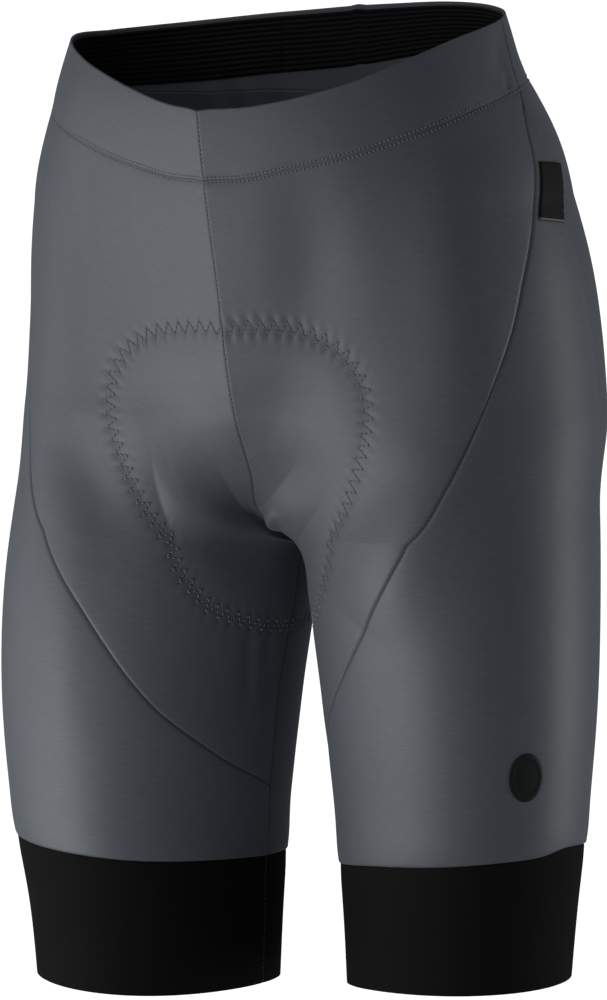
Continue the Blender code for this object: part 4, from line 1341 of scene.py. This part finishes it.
def plain_cloth(name, dark, light, roughness, scale):
    material, tree, shader = new_material(name, Roughness=roughness, Specular_IOR_Level=0.2)
    place_on = node(tree, "ShaderNodeTexCoord")
    fleck = noise(tree, place_on.outputs["Object"], scale, 2.0)
    tree.links.new(mix_colours(tree, fleck, dark, light), shader.inputs["Base Color"])
    bump_from(tree, shader, fleck, 0.25, 0.0002)
    return material


def label_tape():
    """Black woven tape with a pale line near its lower end."""
    material, tree, shader = new_material("black_label", Roughness=0.6, Specular_IOR_Level=0.2)
    weave = noise(tree, sheet_vector(tree, (2400.0, 1200.0, 1.0)), 1.0, 1.0)
    tone = mix_colours(tree, weave, (0.004, 0.004, 0.005), (0.009, 0.009, 0.010))
    split = node(tree, "ShaderNodeSeparateXYZ")
    tree.links.new(sheet_vector(tree, (1.0, 1.0, 1.0)), split.inputs[0])
    down = math_node(tree, "SUBTRACT", split.outputs[1], LABEL_HEIGHT - LABEL_LINE_UP)
    line = near_line(tree, down, 0.0006)
    tree.links.new(mix_colours(tree, line, tone, (0.30, 0.31, 0.33)), shader.inputs["Base Color"])
    bump_from(tree, shader, weave, 0.3, 0.0002)
    return material


def thread(name, tone, hole_shade_tone):
    """Thread, with painted shade towards its ends, where it goes down into the needle holes."""
    material, tree, shader = new_material(name, Roughness=0.55, Sheen_Weight=0.2)
    end = math_node(tree, "POWER", mark(tree, "tip"), 3.0)
    tree.links.new(mix_colours(tree, end, tone, hole_shade_tone), shader.inputs["Base Color"])
    return material


def floor_material():
    return new_material(
        "pale_floor", Roughness=0.9, Base_Color=(0.85, 0.85, 0.85, 1.0),
        Emission_Color=(1.0, 1.0, 1.0, 1.0), Emission_Strength=1.0)[0]


JERSEY_DARK = (0.064, 0.074, 0.088)
JERSEY_LIGHT = (0.116, 0.130, 0.148)
JERSEY_INSIDE = (0.150, 0.166, 0.188)
# Colour of the painted shade at the seams, needle holes and under the zigzag thread
PAINTED_STITCH_SHADE = (0.010, 0.012, 0.015)
ROW_SHADE_WIDTH = 0.0008
JOIN_SHADE_WIDTH = 0.0004
THREAD_SHADE_WIDTH = 0.0013
HOLE_SHARE = 0.34
KNIT_DARK = (0.003, 0.003, 0.003)
KNIT_LIGHT = (0.008, 0.008, 0.008)


def all_materials():
    return {
        "jersey": jersey(),
        "knit": knit(),
        "elastic": plain_cloth("black_elastic", (0.004, 0.004, 0.005), (0.012, 0.012, 0.013), 0.6, 900.0),
        "pad": plain_cloth("pad_fabric", (0.016, 0.017, 0.019), (0.026, 0.027, 0.030), 0.8, 700.0),
        "label": label_tape(),
        "badge": plain_cloth("badge_rubber", (0.009, 0.010, 0.010), (0.012, 0.013, 0.013), 0.5, 400.0),
        "thread": thread("grey_thread", (0.26, 0.28, 0.31), (0.03, 0.033, 0.038)),
        "slate_thread": thread("slate_thread", (0.20, 0.22, 0.245), (0.02, 0.022, 0.026)),
        "dark_thread": thread("dark_thread", (0.045, 0.050, 0.058), (0.010, 0.012, 0.014)),
        "floor": floor_material(),
    }


# Light, floor and camera

CAMERA_AT = Vector((1.50745, -2.5938, 0.131))
CAMERA_TURN = math.radians(30.0)
CAMERA_DIP = math.radians(7.09)
LIGHT_AIM = Vector((0.0, 0.0, -0.30))
# Name, turn to the camera's right, distance over the floor, height, size, energy
LIGHTS = (
    ("low_left_light", -82.0, 1.1, -0.60, 0.7, 3.8),
    ("front_left_light", -58.0, 1.1, -0.72, 0.5, 4.6),
    ("high_left_light", -70.0, 1.8, 0.30, 0.6, 1.1),
    ("rear_left_light", -110.0, 1.6, -0.30, 0.6, 1.8),
    ("top_light", -20.0, 1.8, 1.00, 0.8, 2.8),
    ("right_light", 90.0, 1.6, -0.30, 0.6, 3.8),
    ("low_right_light", 90.0, 1.2, -0.75, 0.5, 2.6),
)
WORLD_STRENGTH = 0.150
FLOOR_LEVEL = -0.93
FLOOR_REACH = 90.0


def camera():
    data = bpy.data.cameras.new("camera")
    data.lens = 200.0
    data.sensor_width = 36.0
    piece = add_object("camera", data)
    piece.location = CAMERA_AT
    piece.rotation_euler = (math.pi / 2 - CAMERA_DIP, 0.0, CAMERA_TURN)
    bpy.context.scene.camera = piece


def area_light(name, turn, distance, height, size, energy):
    """A soft square light aimed at the shorts, its turn in degrees as seen from the camera."""
    turn = math.radians(turn) + CAMERA_TURN
    place_at = Vector((math.sin(turn) * distance, -math.cos(turn) * distance, height))
    data = bpy.data.lights.new(name, "AREA")
    data.size = size
    data.energy = energy
    piece = add_object(name, data)
    piece.location = place_at
    piece.rotation_euler = (place_at - LIGHT_AIM).to_track_quat("Z", "Y").to_euler()
    piece.visible_camera = False


def studio(materials):
    for row in LIGHTS:
        area_light(*row)
    world = bpy.data.worlds.new("studio")
    world.use_nodes = True
    inputs = world.node_tree.nodes["Background"].inputs
    inputs["Color"].default_value = (0.9, 0.93, 1.0, 1.0)
    inputs["Strength"].default_value = WORLD_STRENGTH
    bpy.context.scene.world = world
    corners = [(x * FLOOR_REACH, y * FLOOR_REACH, 0) for x, y in ((-1, -1), (1, -1), (1, 1), (-1, 1))]
    floor = new_object("floor", corners, [(0, 1, 2, 3)], materials["floor"])
    floor.location = (0.0, 0.0, FLOOR_LEVEL)
    floor.visible_diffuse = False
    floor.visible_glossy = False
    bpy.context.scene.view_settings.view_transform = "Standard"


# Build

def dress(materials):
    jersey_look = (CLOTH, materials["jersey"], "grey_jersey")
    shown = []

    def dress_flat(word, solid, cloth, look):
        shown.append(cloth)
        shell(word + solid, solid, cloth, *look)

    for side, hand in ((RIGHT, "right"), (LEFT, "left")):
        dress_flat("jersey_", "front_" + hand, front_cloth(side), jersey_look)
        dress_flat("jersey_", "back_" + hand, back_cloth(side), jersey_look)
        dress_flat("jersey_", "waistband_front_" + hand, front_band_cloth(side), jersey_look)
        dress_flat("knit_", "hem_band_" + hand, hem_cloth(side), (HEM_CLOTH, materials["knit"], "black_knit"))
    dress_flat("jersey_", "waistband_back", back_band_cloth(), jersey_look)
    right = [(RIGHT, ELASTIC_START, ELASTIC_JOIN)]
    left = [(RIGHT, ELASTIC_JOIN, 1.0), (LEFT, ELASTIC_END, 1.0)]
    back_elastic("elastic_back_right", right, materials["elastic"])
    back_elastic("elastic_back_left", left, materials["elastic"])
    seat_pad(materials["pad"])
    surface = Surface(shown)
    side_label(surface, materials)
    thigh_badge(surface, materials)
    sew(surface, materials)


MATERIALS = all_materials()
dress(MATERIALS)
studio(MATERIALS)
camera()
